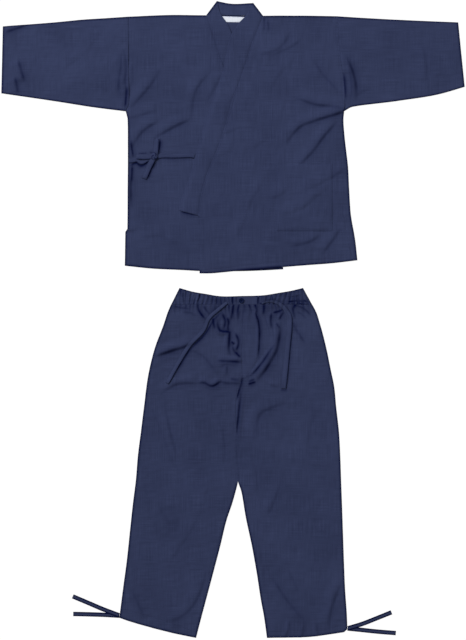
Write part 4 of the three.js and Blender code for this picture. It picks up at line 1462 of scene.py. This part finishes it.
def front_tie_level(x: Array, y: Array) -> Array:
    """Give the underside of the front tie, which comes down from the collar's edge to the front beneath."""
    low = onto(right_front, CLOTH)(x, y)
    high = np.maximum(low, over_collar(x, y) + (BAND - TIE) / 2)
    return low + (high - low) * smooth(*STEPS.tie, x)


def bow_level(x: Array, y: Array) -> Array:
    """Give the underside of the bow, which lies on the ties near its knot."""
    near = 1 - smooth(*STEPS.knot, np.abs(y - KNOT_AT[1]))
    return onto(right_front, CLOTH)(x, y) + (TIE + GAP) * near


def drawstring_level(leg: Surface) -> Surface:
    """Drape a drawstring, which comes down from the waistband to a leg.

    Args:
        leg: The underside of the leg's front.

    Returns:
        The underside of the drawstring.
    """

    def height(x: Array, y: Array) -> Array:
        """Give the height of the underside."""
        on_leg = onto(leg, CLOTH)(x, y)
        on_band = waist_upper(x, np.maximum(y, WAIST_SEAM)) + GAP
        return on_leg + (np.maximum(on_band, on_leg) - on_leg) * smooth(18, 44, y)

    return height


# ---- Finishes ----


class Wiring:
    """A node tree with a short way to add and join nodes."""

    def __init__(self, tree: NodeTree) -> None:
        """Take the tree to add to."""
        self.tree = tree

    def node(self, kind: str, values: dict | None = None, **settings: object) -> Node:
        """Add a node.

        Args:
            kind: The node's type.
            values: What each input holds, a constant or another node's output.
            settings: The node's own properties.

        Returns:
            The node.
        """
        node = self.tree.nodes.new(kind)
        for key, value in settings.items():
            setattr(node, key, value)
        for key, value in (values or {}).items():
            if isinstance(value, NodeSocket):
                self.tree.links.new(value, node.inputs[key])
            else:
                node.inputs[key].default_value = value
        return node

    def join(self, output: NodeSocket, node: Node, name: str) -> None:
        """Join an output to a node's named input."""
        self.tree.links.new(output, node.inputs[name])

    def place(self) -> NodeSocket:
        """Add a node that gives the place on the flat cut cloth."""
        return self.node("ShaderNodeAttribute", attribute_name="cut").outputs["Vector"]

    def maths(self, operation: str, *values: object) -> NodeSocket:
        """Add a calculation and give its result."""
        return self.node("ShaderNodeMath", dict(enumerate(values)), operation=operation).outputs[0]

    def mixed(self, share: NodeSocket, none: object, full: object) -> NodeSocket:
        """Mix two colours.

        Args:
            share: How much of the second.
            none: The first colour, or the node output that gives it.
            full: The second.

        Returns:
            The mixed colour.
        """
        values = {0: share, 6: none, 7: full}
        values = {k: (*v, 1) if isinstance(v, tuple) else v for k, v in values.items()}
        return self.node("ShaderNodeMix", values, data_type="RGBA").outputs[2]


def effect(name: str, inputs: dict[str, tuple[str, object]], outputs: Sequence[str]) -> tuple:
    """Start a node group that several finishes share.

    Args:
        name: The group's name.
        inputs: Each input's socket type and first value.
        outputs: The names of its outputs.

    Returns:
        The group, a wiring for it, its input node and its output node.
    """
    group = bpy.data.node_groups.new(name, "ShaderNodeTree")
    for label, (kind, value) in inputs.items():
        socket = group.interface.new_socket(label, in_out="INPUT", socket_type=kind)
        if value is not None:
            socket.default_value = value
    for label in outputs:
        group.interface.new_socket(label, in_out="OUTPUT", socket_type="NodeSocketFloat")
    return group, Wiring(group), group.nodes.new("NodeGroupInput"), group.nodes.new("NodeGroupOutput")


def dressed(name: str) -> tuple[Material, Wiring, Node]:
    """Start a material and give it, a wiring for it and its shader."""
    material = bpy.data.materials.new(name)
    material.use_nodes = True
    return material, Wiring(material.node_tree), material.node_tree.nodes["Principled BSDF"]


class Effects:
    """The effects that the finishes share, each built once."""

    def __init__(self) -> None:
        """Build the node groups."""
        self.weave = self.make_weave()
        self.slub = self.make_slub()
        self.fading = self.make_fading()

    @staticmethod
    def make_weave() -> NodeTree:
        """Build a plain weave: threads that pass over and under each other.

        Returns:
            The group, which gives the threads' height and their painted highlight and shade.
        """
        inputs = {"Place": ("NodeSocketVector", None), "Threads per metre": ("NodeSocketFloat", 1800.0)}
        group, wires, given, result = effect("plain_weave", inputs, ("Height", "Shade"))
        place = given.outputs["Place"]
        wander = wires.node("ShaderNodeTexNoise", {"Vector": place, "Scale": 90.0, "Detail": 2.0})
        drift = {0: wander.outputs["Color"], "Scale": 0.0012}
        drift = wires.node("ShaderNodeVectorMath", drift, operation="SCALE").outputs[0]
        moved = wires.node("ShaderNodeVectorMath", {0: place, 1: drift}, operation="ADD")
        parts = wires.node("ShaderNodeSeparateXYZ", {0: moved.outputs[0]})
        turns = wires.maths("MULTIPLY", given.outputs["Threads per metre"], math.pi)
        weft = wires.maths("SINE", wires.maths("MULTIPLY", parts.outputs["X"], turns))
        warp = wires.maths("SINE", wires.maths("MULTIPLY", parts.outputs["Y"], turns))
        crossing = wires.maths("MULTIPLY", weft, warp)
        wires.join(wires.maths("MULTIPLY_ADD", crossing, 0.5, 0.5), result, "Height")
        wires.join(wires.maths("POWER", wires.maths("ABSOLUTE", crossing), 0.5), result, "Shade")
        return group

    @staticmethod
    def make_slub() -> NodeTree:
        """Build slubs: thicker stretches of thread, along the warp and the weft.

        Returns:
            The group, which gives a mask of the slubs.
        """
        inputs = {"Place": ("NodeSocketVector", None), "Length": ("NodeSocketFloat", 14.0)}
        group, wires, given, result = effect("slub", inputs, ("Mask",))
        masks = []
        parts = wires.node("ShaderNodeSeparateXYZ", {0: given.outputs["Place"]})
        length, fine = given.outputs["Length"], 1400.0
        for across, up, layer in ((fine, length, 7.0), (length, fine, 0.0)):
            x = wires.maths("MULTIPLY", parts.outputs["X"], across)
            y = wires.maths("MULTIPLY", parts.outputs["Y"], up)
            drawn = wires.node("ShaderNodeCombineXYZ", {0: x, 1: y, 2: layer}).outputs[0]
            noise = wires.node("ShaderNodeTexNoise", {"Vector": drawn, "Scale": 1.0, "Detail": 1.0})
            masks.append(noise.outputs["Fac"])
        wires.join(wires.maths("MULTIPLY", *masks), result, "Mask")
        return group

    @staticmethod
    def make_fading() -> NodeTree:
        """Build the broad, faint unevenness of dyed and washed cloth.

        Returns:
            The group, which gives a mask of the paler places.
        """
        inputs = {"Place": ("NodeSocketVector", None), "Scale": ("NodeSocketFloat", 7.0)}
        group, wires, given, result = effect("dye_fading", inputs, ("Mask",))
        values = {"Vector": given.outputs["Place"], "Scale": given.outputs["Scale"]}
        values |= {"Detail": 4.0, "Roughness": 0.55}
        wires.join(wires.node("ShaderNodeTexNoise", values).outputs["Fac"], result, "Mask")
        return group


@dataclass(frozen=True)
class CottonFinish:
    """Matt dyed cotton in a plain weave, with painted shade mixed in along its edges and in its creases."""

    name: str
    deep: Colour
    pale: Colour
    edge: Colour
    threads: float = 1800.0
    roughness: float = 0.9

    def make(self, effects: Effects) -> Material:
        """Build the material.

        Args:
            effects: The shared effects.

        Returns:
            The material.
        """
        material, wires, shader = dressed(self.name)
        place = wires.place()
        painted_shade = wires.node("ShaderNodeAttribute", attribute_name="painted_shade").outputs["Fac"]
        weave, slub, fading = (
            wires.node("ShaderNodeGroup", {"Place": place}, node_tree=tree)
            for tree in (effects.weave, effects.slub, effects.fading)
        )
        weave.inputs["Threads per metre"].default_value = self.threads
        # The weave's shade paints the thread crowns lighter and the hollows between them darker, a painted
        # highlight and shade.
        shade = wires.maths("MULTIPLY_ADD", weave.outputs["Shade"], 0.3, 0.1)
        shade = wires.maths("MULTIPLY_ADD", slub.outputs["Mask"], 3.0, shade)
        shade = wires.maths("SUBTRACT", shade, 1.0)
        shade = wires.maths("MULTIPLY_ADD", fading.outputs["Mask"], 1.0, shade)
        dyed = wires.mixed(shade, self.deep, self.pale)
        # Painted shade: the edge colour is mixed in by the per-point attribute along outlines and crease
        # troughs.
        wires.join(wires.mixed(painted_shade, dyed, self.edge), shader, "Base Color")
        height = wires.maths("MULTIPLY_ADD", slub.outputs["Mask"], 0.6, weave.outputs["Height"])
        bump = wires.node("ShaderNodeBump", {"Height": height, "Strength": 0.35, "Distance": 0.0002})
        wires.join(bump.outputs["Normal"], shader, "Normal")
        rough = wires.maths("MULTIPLY_ADD", slub.outputs["Mask"], 0.1, self.roughness - 0.03)
        wires.join(rough, shader, "Roughness")
        shader.inputs["Sheen Weight"].default_value = 0.01
        shader.inputs["Sheen Roughness"].default_value = 0.6
        shader.inputs["Specular IOR Level"].default_value = 0.01
        return material


@dataclass(frozen=True)
class HornFinish:
    """The dark polished horn of the waist button."""

    name: str
    dark: Colour
    streak: Colour

    def make(self, effects: Effects) -> Material:
        """Build the material.

        Args:
            effects: The shared effects.

        Returns:
            The material.
        """
        material, wires, shader = dressed(self.name)
        values = {"Scale": 260.0, "Place": wires.place()}
        streaks = wires.node("ShaderNodeGroup", values, node_tree=effects.fading).outputs["Mask"]
        wires.join(wires.mixed(streaks, self.dark, self.streak), shader, "Base Color")
        wires.join(wires.maths("MULTIPLY_ADD", streaks, 0.2, 0.4), shader, "Roughness")
        shader.inputs["Specular IOR Level"].default_value = 0.03
        return material


# Each cotton finish's third colour is the painted shade that its edges and crease troughs are mixed towards.
NAVY = CottonFinish(
    "navy_cotton", (0.0129, 0.0168, 0.0404), (0.0237, 0.0305, 0.0683), (0.0002, 0.0014, 0.017)
)
NAVY_THREAD = CottonFinish(
    "navy_thread", (0.010, 0.013, 0.036), (0.017, 0.022, 0.054), (0.002, 0.003, 0.014), 4200.0
)
WHITE = CottonFinish("white_label", (0.35, 0.37, 0.41), (0.46, 0.48, 0.52), (0.24, 0.26, 0.34), 3200.0, 0.6)
HORN = HornFinish("dark_horn", (0.0006, 0.002, 0.012), (0.003, 0.007, 0.032))


# ---- Pieces ----


class Workroom:
    """What every sub-assembly needs: the finishes, and the ways to make panels and to dress and place a
    piece.
    """

    def __init__(self) -> None:
        """Make the finishes."""
        effects = Effects()
        self.navy = NAVY.make(effects)
        self.thread = NAVY_THREAD.make(effects)
        self.white = WHITE.make(effects)
        self.horn = HORN.make(effects)

    def hand_in(
        self, piece: Object, *nodes: str, finish: Material | None = None, slot: Slot = Slot.COTTON
    ) -> Object:
        """Dress a piece, fix it to the model's body and let it stand for its plain solids.

        Args:
            piece: The piece.
            nodes: The plain solids that it replaces.
            finish: Its finish, navy cotton if it isn't given.
            slot: The record's finish that this is; not used.

        Returns:
            The same piece.
        """
        piece.data.materials.append(finish or self.navy)
        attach(piece, "root")
        if nodes:
            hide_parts(*nodes)
        LOG.info("%s: %d faces", piece.name, len(piece.data.polygons))
        return piece

    def back_panel(self, node: str, outline: Points, relief: Relief) -> None:
        """Make a panel that lies on the table.

        Args:
            node: The plain solid that it replaces.
            outline: Its outline.
            relief: The relief of the panel above, which its underside follows.
        """
        panel = Shell(f"{node}_cloth", outline, soft_underside(relief), CLOTH, spacing=PLAIN)
        panel.thickness = lambda x, y: CLOTH - panel.bottom(x, y)
        self.lay(self.hand_in(panel.build(), node), [outline])

    def front_panel(
        self, cloth: Cloth, outline: Points, relief: Relief, bottom: Surface, under: str, sewing: Stitching
    ) -> None:
        """Make a creased and sewn panel that lies on another.

        Args:
            cloth: The piece of cloth.
            outline: Its outline.
            relief: Its creases and seams.
            bottom: Its underside.
            under: The panel that it lies on.
            sewing: The stitches to add its own to.
        """
        looks = {"trough": relief.trough, "beside": beside(outline), "features": relief.features()}
        panel = Shell(f"{cloth.value}_cloth", outline, bottom, relief.sewn, **looks)
        self.lay(self.hand_in(panel.build(), cloth.value), [outline], [f"{under}_cloth"])
        sewing.sew(relief, panel.top, outline)

    @staticmethod
    def lay(
        piece: Object, outlines: Sequence[Points], rests_on: Sequence[str] = (), layers: int = 1
    ) -> None:
        """Work out the size and the area of a piece cut to outlines; nothing further is done with them.

        Args:
            piece: The piece; not used.
            outlines: The outlines of what shows.
            rests_on: The pieces or nodes that it lies on; not used.
            layers: How many times over each outline was cut.
        """
        spots = np.vstack([np.asarray(outline, float) for outline in outlines])
        width, length = sorted(np.ptp(spots, axis=0) * MM)
        area = sum(abs(area_of(outline)) for outline in outlines) * MM**2 * layers
        width *= layers
        if area < 0.3 * width * length:
            width = area / length
        area = min(area, width * length)

    @staticmethod
    def lay_strip(piece: Object, strip: Strip, rests_on: Sequence[str] = ()) -> None:
        """Work out the width and the length of a strip; nothing further is done with them."""
        size = (strip.width * MM, run_of(strip.centre()) * MM)


def joined(name: str, pieces: Sequence[Object]) -> Object:
    """Join pieces into one.

    Args:
        name: The name of the joined piece.
        pieces: The pieces, which are used up.

    Returns:
        The joined piece.
    """
    points, faces, cuts, painted_shades = [], {3: [], 4: []}, [], []
    first = 0
    for piece in pieces:
        mesh = piece.data
        points.append(np.array([tuple(v.co) for v in mesh.vertices]) / MM)
        cuts.append(np.array([tuple(v.vector) for v in mesh.attributes["cut"].data])[:, :2] / MM)
        painted_shades.append(np.array([v.value for v in mesh.attributes["painted_shade"].data]))
        for face in mesh.polygons:
            faces[len(face.vertices)].append([first + v for v in face.vertices])
        first += len(mesh.vertices)
        bpy.data.objects.remove(piece)
    triangles = np.array(faces[3] or np.empty((0, 3)), int)
    quads = np.array(faces[4] or np.empty((0, 4)), int)
    return made(name, np.vstack(points), triangles, quads, np.vstack(cuts), np.concatenate(painted_shades))


@dataclass
class Jacket:
    """The wrapped jacket: back, two fronts, sleeves, collar, pocket, label and ties."""

    workroom: Workroom
    sewing: Stitching
    front_tie: Points = (
        (-111.2, 476.4), (-119.5, 478.9), (-134, 479.4), (-152, 478.6), (-176, 478.3), (-196, 478.6),
        (-213, 477.4), (-224.8, 474.4),
    )
    side_tie: Points = (
        (-304.8, 463.6), (-292, 464.2), (-280.5, 467), (-268.8, 459.4), (-252, 466.4), (-234, 476.6),
    )
    bow_loop: Points = ((-233.6, 476.7), (-257, 474.4), (-281.8, 475.5))
    tail_up: Points = ((-226, 480.2), (-224.8, 503.6), (-223.7, 526.9))
    tail_down: Points = ((-231.5, 471.4), (-246.5, 442), (-259.5, 410.4))
    knot: tuple[float, float, float] = (9, 11, 6)
    knot_length: float = 60  # of tie wound up in the knot
    cuff_corners: tuple[int, int] = (4, 3)  # the point of each sleeve's outline where its cuff begins
    underarm: int = 8  # the point of both outlines where the lower fold meets the armhole
    pocket_edges: tuple[float, float, float, float] = (125.6, 290.2, 258.3, 453.5)
    pressed_edge: float = 0.5

    def build(self) -> None:
        """Make every piece of the jacket."""
        self.body()
        self.sleeves()
        self.collar()
        self.pocket()
        self.label()
        self.ties()

    def body(self) -> None:
        """Make the back and the two fronts."""
        room, right, left = self.workroom, Cloth.FRONT_RIGHT, Cloth.FRONT_LEFT
        room.back_panel(Cloth.BACK.value, BACK, LEFT_FRONT)
        room.front_panel(right, FRONT_RIGHT, RIGHT_FRONT, right_front, Cloth.BACK.value, self.sewing)
        room.front_panel(left, FRONT_LEFT, LEFT_FRONT, left_front, right.value, self.sewing)

    def sleeves(self) -> None:
        """Make the two sleeves, each a flattened tube."""
        for relief, points, cuff, cloth in (
            (RIGHT_SLEEVE, SLEEVE_RIGHT, self.cuff_corners[0], Cloth.SLEEVE_RIGHT),
            (LEFT_SLEEVE, SLEEVE_LEFT, self.cuff_corners[1], Cloth.SLEEVE_LEFT),
        ):
            outline = points[: self.underarm + 1]

            def upper(x: Array, y: Array, relief: Relief = relief) -> Array:
                """Give the height of the sleeve's top."""
                return SLEEVE_TOP + relief.lift(x, y) + relief.sewn(x, y) - CLOTH

            ends = (points[0], *reversed(points[self.underarm :])), points[cuff : cuff + 2]
            folds = outline[: cuff + 1], outline[:cuff:-1]
            looks = {"grain": 90, "trough": relief.trough}
            tube = FlatTube(f"{cloth.value}_cloth", *ends, *folds, wall=CLOTH, upper=upper, **looks)
            piece = self.workroom.hand_in(tube.build(), cloth.value)
            self.workroom.lay(piece, [outline], layers=2)
            self.sewing.sew(relief, upper, outline)

    def collar(self) -> None:
        """Make the collar: behind the neck and down each front."""
        parts = [
            Shell(name, outline, level, thickness, spacing=4, edge=0.45, beside=beside(outline))
            for name, outline, level, thickness in (
                ("collar_back", COLLAR_BACK, table, BAND),
                ("collar_over", COLLAR_OVER, over_collar_drape, collar_thickness),
                ("collar_under", COLLAR_UNDER, under_collar, collar_thickness),
            )
        ]
        piece = joined("collar_cloth", [part.build() for part in parts])
        self.workroom.hand_in(piece, "collar")
        self.workroom.lay(piece, [COLLAR_BACK, COLLAR_OVER, COLLAR_UNDER], ["jacket_back_cloth"])

    def pocket(self) -> None:
        """Make the patch pocket."""

        def pressed(x: Array, y: Array) -> Array:
            """Give the pocket's thickness, pressed flatter towards its edges."""
            left, right, low, high = self.pocket_edges
            away = np.minimum(np.minimum(x - left, right - x), np.minimum(y - low, high - y))
            return self.pressed_edge + (CLOTH - self.pressed_edge) * smooth(0, 8, away)

        level = onto(left_front, CLOTH)
        shell = Shell("patch_pocket_cloth", POCKET, level, pressed, edge=0.35, reach=0, beside=SUIT)
        piece = self.workroom.hand_in(shell.build(), "patch_pocket")
        self.workroom.lay(piece, [POCKET], ["jacket_front_left_cloth"])

    def label(self) -> None:
        """Make the blank label inside the neck."""
        level = onto(table, CLOTH)
        # The label's edge is painted darker over a narrow band, a painted shade.
        shape = {"spacing": 3, "edge": 0.3, "reach": 0, "painted_shade_width": 2.5}
        piece = Shell("neck_label_woven", NECK_LABEL, level, LABEL, **shape).build()
        self.workroom.hand_in(piece, "neck_label", finish=self.workroom.white, slot=Slot.LABEL)
        self.workroom.lay(piece, [NECK_LABEL], ["jacket_back_cloth"])

    def ties(self) -> None:
        """Make the two ties and the bow that they are tied in."""
        # Each pair paints shade on a tie's edges, darker on the side away from the light.
        for node, line, level, lean, edges in (
            ("front_tie", self.front_tie, front_tie_level, 0.7, (0.15, 0.8)),
            ("side_tie", self.side_tie, onto(right_front, CLOTH), -0.7, (0.9, 0.15)),
        ):
            strip = Strip(f"{node}_cloth", line, TIE_WIDTH, level, lean=lean, edges=edges)
            piece = self.workroom.hand_in(strip.build(), node)
            self.workroom.lay_strip(piece, strip, ["jacket_front_right_cloth"])
        tails = [
            Strip(name, line, BOW_WIDTH, bow_level, lean=lean, edges=edges)
            for name, line, lean, edges in (
                ("loop", self.bow_loop, 1.6, (0.2, 0.9)),
                ("up", self.tail_up, -2.6, (0.9, 0.2)),
                ("down", self.tail_down, 2.6, (0.2, 0.9)),
            )
        ]
        parts = [tail.build() for tail in tails] + [self.knot_mesh()]
        piece = joined("tie_bow_cloth", parts)
        self.workroom.hand_in(piece, "tie_bow")
        length = sum(run_of(tail.centre()) for tail in tails) + self.knot_length

    def knot_mesh(self) -> Object:
        """Make the wrapped knot of the bow.

        Returns:
            The knot, to be joined to the tails.
        """
        around, rows = 36, 14
        a = np.arange(around) * 2 * np.pi / around
        b = np.linspace(-0.5, 0.5, rows) * np.pi
        base = float(bow_level(np.array([KNOT_AT[0]]), np.array([KNOT_AT[1]]))[0])
        b_grid, a_grid = np.meshgrid(b[1:-1], a, indexing="ij")
        fold = 1 + 0.09 * np.cos(3 * a_grid + 4 * b_grid) * np.cos(b_grid)
        x = KNOT_AT[0] + self.knot[0] * np.cos(b_grid) ** 0.8 * np.cos(a_grid) * fold
        y = KNOT_AT[1] + self.knot[1] * np.cos(b_grid) ** 0.8 * np.sin(a_grid) * fold
        half = self.knot[2] / 2
        z = base + half + half * np.sin(b_grid) * fold
        points = np.column_stack([x.ravel(), y.ravel(), z.ravel()])
        points = np.vstack([points, (*KNOT_AT, base), (*KNOT_AT, base + 2 * half)])
        number = np.arange((rows - 2) * around).reshape(rows - 2, around)
        quads = np.vstack([band(m, n) for m, n in zip(number[:-1], number[1:])])
        low, high = len(points) - 2, len(points) - 1
        fans = np.vstack([
            np.column_stack([np.full(around, low), np.roll(number[0], -1), number[0]]),
            np.column_stack([np.full(around, high), number[-1], np.roll(number[-1], -1)]),
        ])
        # Painted shade in dark lines that wind over the knot, where its wraps would shade each other.
        shade = np.clip(0.12 + np.abs(np.cos(1.5 * a_grid + 2 * b_grid)) ** 8, 0, 1)
        shade = np.concatenate([shade.ravel(), [0, 0]])
        return made("knot", points, fans, quads, points[:, :2], shade)


@dataclass
class Trousers:
    """The drawstring trousers: legs, waistband, button, drawstrings and the ties at the hems."""

    workroom: Workroom
    sewing: Stitching
    drawstring_right: Points = (
        (-17.5, 49.5), (-40.9, 30.5), (-71.2, 2.8), (-84.7, -27.9), (-125.6, -73.1), (-154.8, -118.4),
        (-192.7, -186.4),
    )
    drawstring_left: Points = (
        (83.2, 48), (106, 53.1), (128, 49.9), (150, 33), (163, 12), (164.4, -19), (160, -68.8),
        (153.5, -138.8), (147.6, -202),
    )
    hem_ties: tuple[tuple[str, int, Points], ...] = (
        ("hem_tie_right_lower", 0, ((-331.5, -865), (-376.7, -862.4), (-417.6, -861), (-466.6, -859.8))),
        ("hem_tie_right_upper", 1, ((-332.4, -863.2), (-376.7, -846.6), (-417.6, -829.6), (-467.8, -808.4))),
        ("hem_tie_left_lower", 0, ((334.3, -902.3), (370.8, -906), (423.4, -911.5), (475.4, -915.6))),
        ("hem_tie_left_upper", 1, ((335.4, -901.2), (373.8, -889.6), (417.6, -873), (462.8, -855))),
    )
    button_radius: float = 7.5
    button_thickness: float = 3.0
    button_rim: float = 1.6
    button_dish: float = 0.9
    button_hole: float = 0.95
    holes_from_centre: float = 2.0

    def build(self) -> None:
        """Make every piece of the trousers."""
        self.legs()
        self.waistband()
        self.button()
        self.drawstrings()
        self.ankle_ties()

    def legs(self) -> None:
        """Make the four leg panels."""
        for under, relief, level, outline, cloth in (
            ("trouser_back_right", RIGHT_LEG, right_leg, LEG_RIGHT, Cloth.LEG_RIGHT),
            ("trouser_back_left", LEFT_LEG, left_leg, LEG_LEFT, Cloth.LEG_LEFT),
        ):
            self.workroom.back_panel(under, outline, relief)
            self.workroom.front_panel(cloth, outline, relief, level, under, self.sewing)

    def waistband(self) -> None:
        """Make the waistband, a gathered ring laid flat."""
        bottom, top = WAISTBAND[:2], WAISTBAND[:1:-1]
        folds = (bottom[0], top[0]), (bottom[-1], top[-1])
        looks = {"bend": 2.1, "steps": (1.8, 1.6), "trough": waist_trough}
        tube = FlatTube("waistband_cloth", bottom, top, *folds, WAIST_WALL, waist_upper, **looks)
        piece = self.workroom.hand_in(tube.build(), Cloth.WAIST.value)
        self.workroom.lay(piece, [WAISTBAND], layers=2)

    def button(self) -> None:
        """Make the four-hole button at the waist."""

        def circle(x: float, y: float, r: float, sides: int) -> Points:
            """Give a round outline."""
            turns = np.arange(sides) * 2 * math.pi / sides
            return [(x + r * math.cos(t), y + r * math.sin(t)) for t in turns]

        def dished(x: Array, y: Array) -> Array:
            """Give the button's thickness, less inside its rim."""
            inside = self.button_radius - self.button_rim
            away = np.hypot(x - BUTTON_AT[0], y - BUTTON_AT[1])
            return self.button_thickness - self.button_dish * (1 - smooth(inside - 1, inside, away))

        away = self.holes_from_centre
        spots = [
            (BUTTON_AT[0] + away * math.cos(t), BUTTON_AT[1] + away * math.sin(t))
            for t in np.pi / 4 + np.arange(4) * np.pi / 2
        ]
        outline = circle(*BUTTON_AT, self.button_radius, 56)
        shape = {"spacing": 0.8, "edge": 0.5, "reach": 0, "painted_shade_width": 0}
        shape["holes"] = [circle(*spot, self.button_hole, 14) for spot in spots]
        shell = Shell("waist_button_horn", outline, onto(table, WAIST_TOP), dished, **shape)
        room = self.workroom
        room.hand_in(shell.build(), "waist_button", finish=room.horn, slot=Slot.BUTTON)

    def drawstrings(self) -> None:
        """Make the two drawstrings, which come out of the waistband and lie on the legs."""
        for name, line, width, taper, leg in (
            ("drawstring_right", self.drawstring_right, 11.0, 0.8, right_leg),
            ("drawstring_left", self.drawstring_left, 15.0, 0.4, left_leg),
        ):
            # The second edge is painted darker, a painted shadow on the side away from the light.
            level, painted_darkening = drawstring_level(leg), (0.1, 0.9)
            strip = Strip(f"{name}_cloth", line, width, level, lean=2.2, taper=taper, edges=painted_darkening)
            piece = self.workroom.hand_in(strip.build(), name)
            path = strip.centre() * MM

    def ankle_ties(self) -> None:
        """Make the pair of short ties at each hem."""
        for name, lap, line in self.hem_ties:

            def level(x: Array, y: Array, root: float = line[0][0], lap: int = lap) -> Array:
                """Give the underside of the tie, which lies on its fellow near the hem."""
                return lap * (TIE + GAP) * (1 - smooth(*STEPS.fork, np.abs(x - root)))

            # The edge shares are large, so nearly all of each hem tie is mixed to the dark edge colour.
            strip = Strip(f"{name}_cloth", line, HEM_TIE_WIDTH, level, edges=(14, 14))
            piece = self.workroom.hand_in(strip.build(), name)
            self.workroom.lay_strip(piece, strip)


# ---- Studio ----


@dataclass
class Studio:
    """A white light table, a broad soft light from the upper left and a long lens straight above."""

    pitch: float = 2.92  # millimetres of the table to one of the picture's 640 rows
    rows: int = 640
    middle: tuple[float, float] = (0.0, -1.6)
    lens: float = 90.0
    sensor: float = 36.0
    sun_from: Place = (-1, 1, 1.25)
    sun_power: float = 4.0
    sun_angle: float = 35.0
    panel_at: Place = (-0.6, 1.85, 1.5)  # metres
    panel_power: float = 24.0
    panel_size: float = 1.4
    sky: float = 0.55
    table_half: float = 40.0  # metres, so that its edge is far outside every view
    table_sinks: float = 0.0004  # metres below the suit

    def build(self) -> None:
        """Make the camera, the lights and the table."""
        scene = bpy.context.scene
        scene.view_settings.view_transform, scene.view_settings.look = "Standard", "None"
        camera = bpy.data.cameras.new("camera")
        camera.lens, camera.sensor_width = self.lens, self.sensor
        camera.clip_end = 100
        height = self.rows * self.pitch * MM * self.lens / self.sensor
        scene.camera = self.stand(camera, (self.middle[0] * MM, self.middle[1] * MM, height))
        sun = bpy.data.lights.new("key", "SUN")
        sun.energy, sun.angle = self.sun_power, math.radians(self.sun_angle)
        self.stand(sun, (0, 0, 0), self.sun_from)
        panel = bpy.data.lights.new("panel", "AREA")
        panel.energy, panel.size = self.panel_power, self.panel_size
        self.stand(panel, self.panel_at, self.panel_at)
        self.sky_dome()
        self.floor()

    @staticmethod
    def stand(data: bpy.types.ID, place: Place, facing: Place | None = None) -> Object:
        """Stand a camera, a light or a mesh in the studio.

        Args:
            data: The camera, light or mesh.
            place: Where it stands, in metres.
            facing: Where its back faces, straight up if it isn't given.

        Returns:
            The object.
        """
        thing = bpy.data.objects.new(data.name, data)
        thing.location = place
        if facing:
            thing.rotation_euler = Vector(facing).to_track_quat("Z", "Y").to_euler()
        bpy.context.scene.collection.objects.link(thing)
        return thing

    def sky_dome(self) -> None:
        """Make the even light of the room, which looks white to the camera."""
        world = bpy.data.worlds.new("studio")
        world.use_nodes = True
        wires = Wiring(world.node_tree)
        background = world.node_tree.nodes["Background"]
        background.inputs["Color"].default_value = (1, 1, 1, 1)
        seen = wires.node("ShaderNodeLightPath").outputs["Is Camera Ray"]
        wires.join(wires.maths("MULTIPLY_ADD", seen, 1 - self.sky, self.sky), background, "Strength")
        bpy.context.scene.world = world

    def floor(self) -> None:
        """Make the table that the suit lies on."""
        mesh = bpy.data.meshes.new("table")
        a = self.table_half
        mesh.from_pydata([(-a, -a, 0), (a, -a, 0), (a, a, 0), (-a, a, 0)], [], [(0, 1, 2, 3)])
        paper, _, shader = dressed("white_paper")
        for socket, value in {
            "Base Color": (0.04, 0.04, 0.04, 1),
            "Roughness": 1.0,
            "Specular IOR Level": 0.0,
            "Emission Color": (1, 1, 1, 1),
            "Emission Strength": 0.97,
        }.items():
            shader.inputs[socket].default_value = value
        mesh.materials.append(paper)
        self.stand(mesh, (0, 0, -self.table_sinks))


def main() -> None:
    """Build the suit and its studio, and report each piece."""
    logging.basicConfig(level=logging.INFO, format="%(name)s: %(message)s")
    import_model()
    Studio().build()
    workroom = Workroom()
    jacket = Jacket(workroom, Stitching("jacket_stitches"))
    trousers = Trousers(workroom, Stitching("trouser_stitches"))
    for garment in (jacket, trousers):
        garment.build()
    for garment in (jacket, trousers):
        workroom.hand_in(garment.sewing.build(), finish=workroom.thread)


if __name__ == "__main__":
    main()
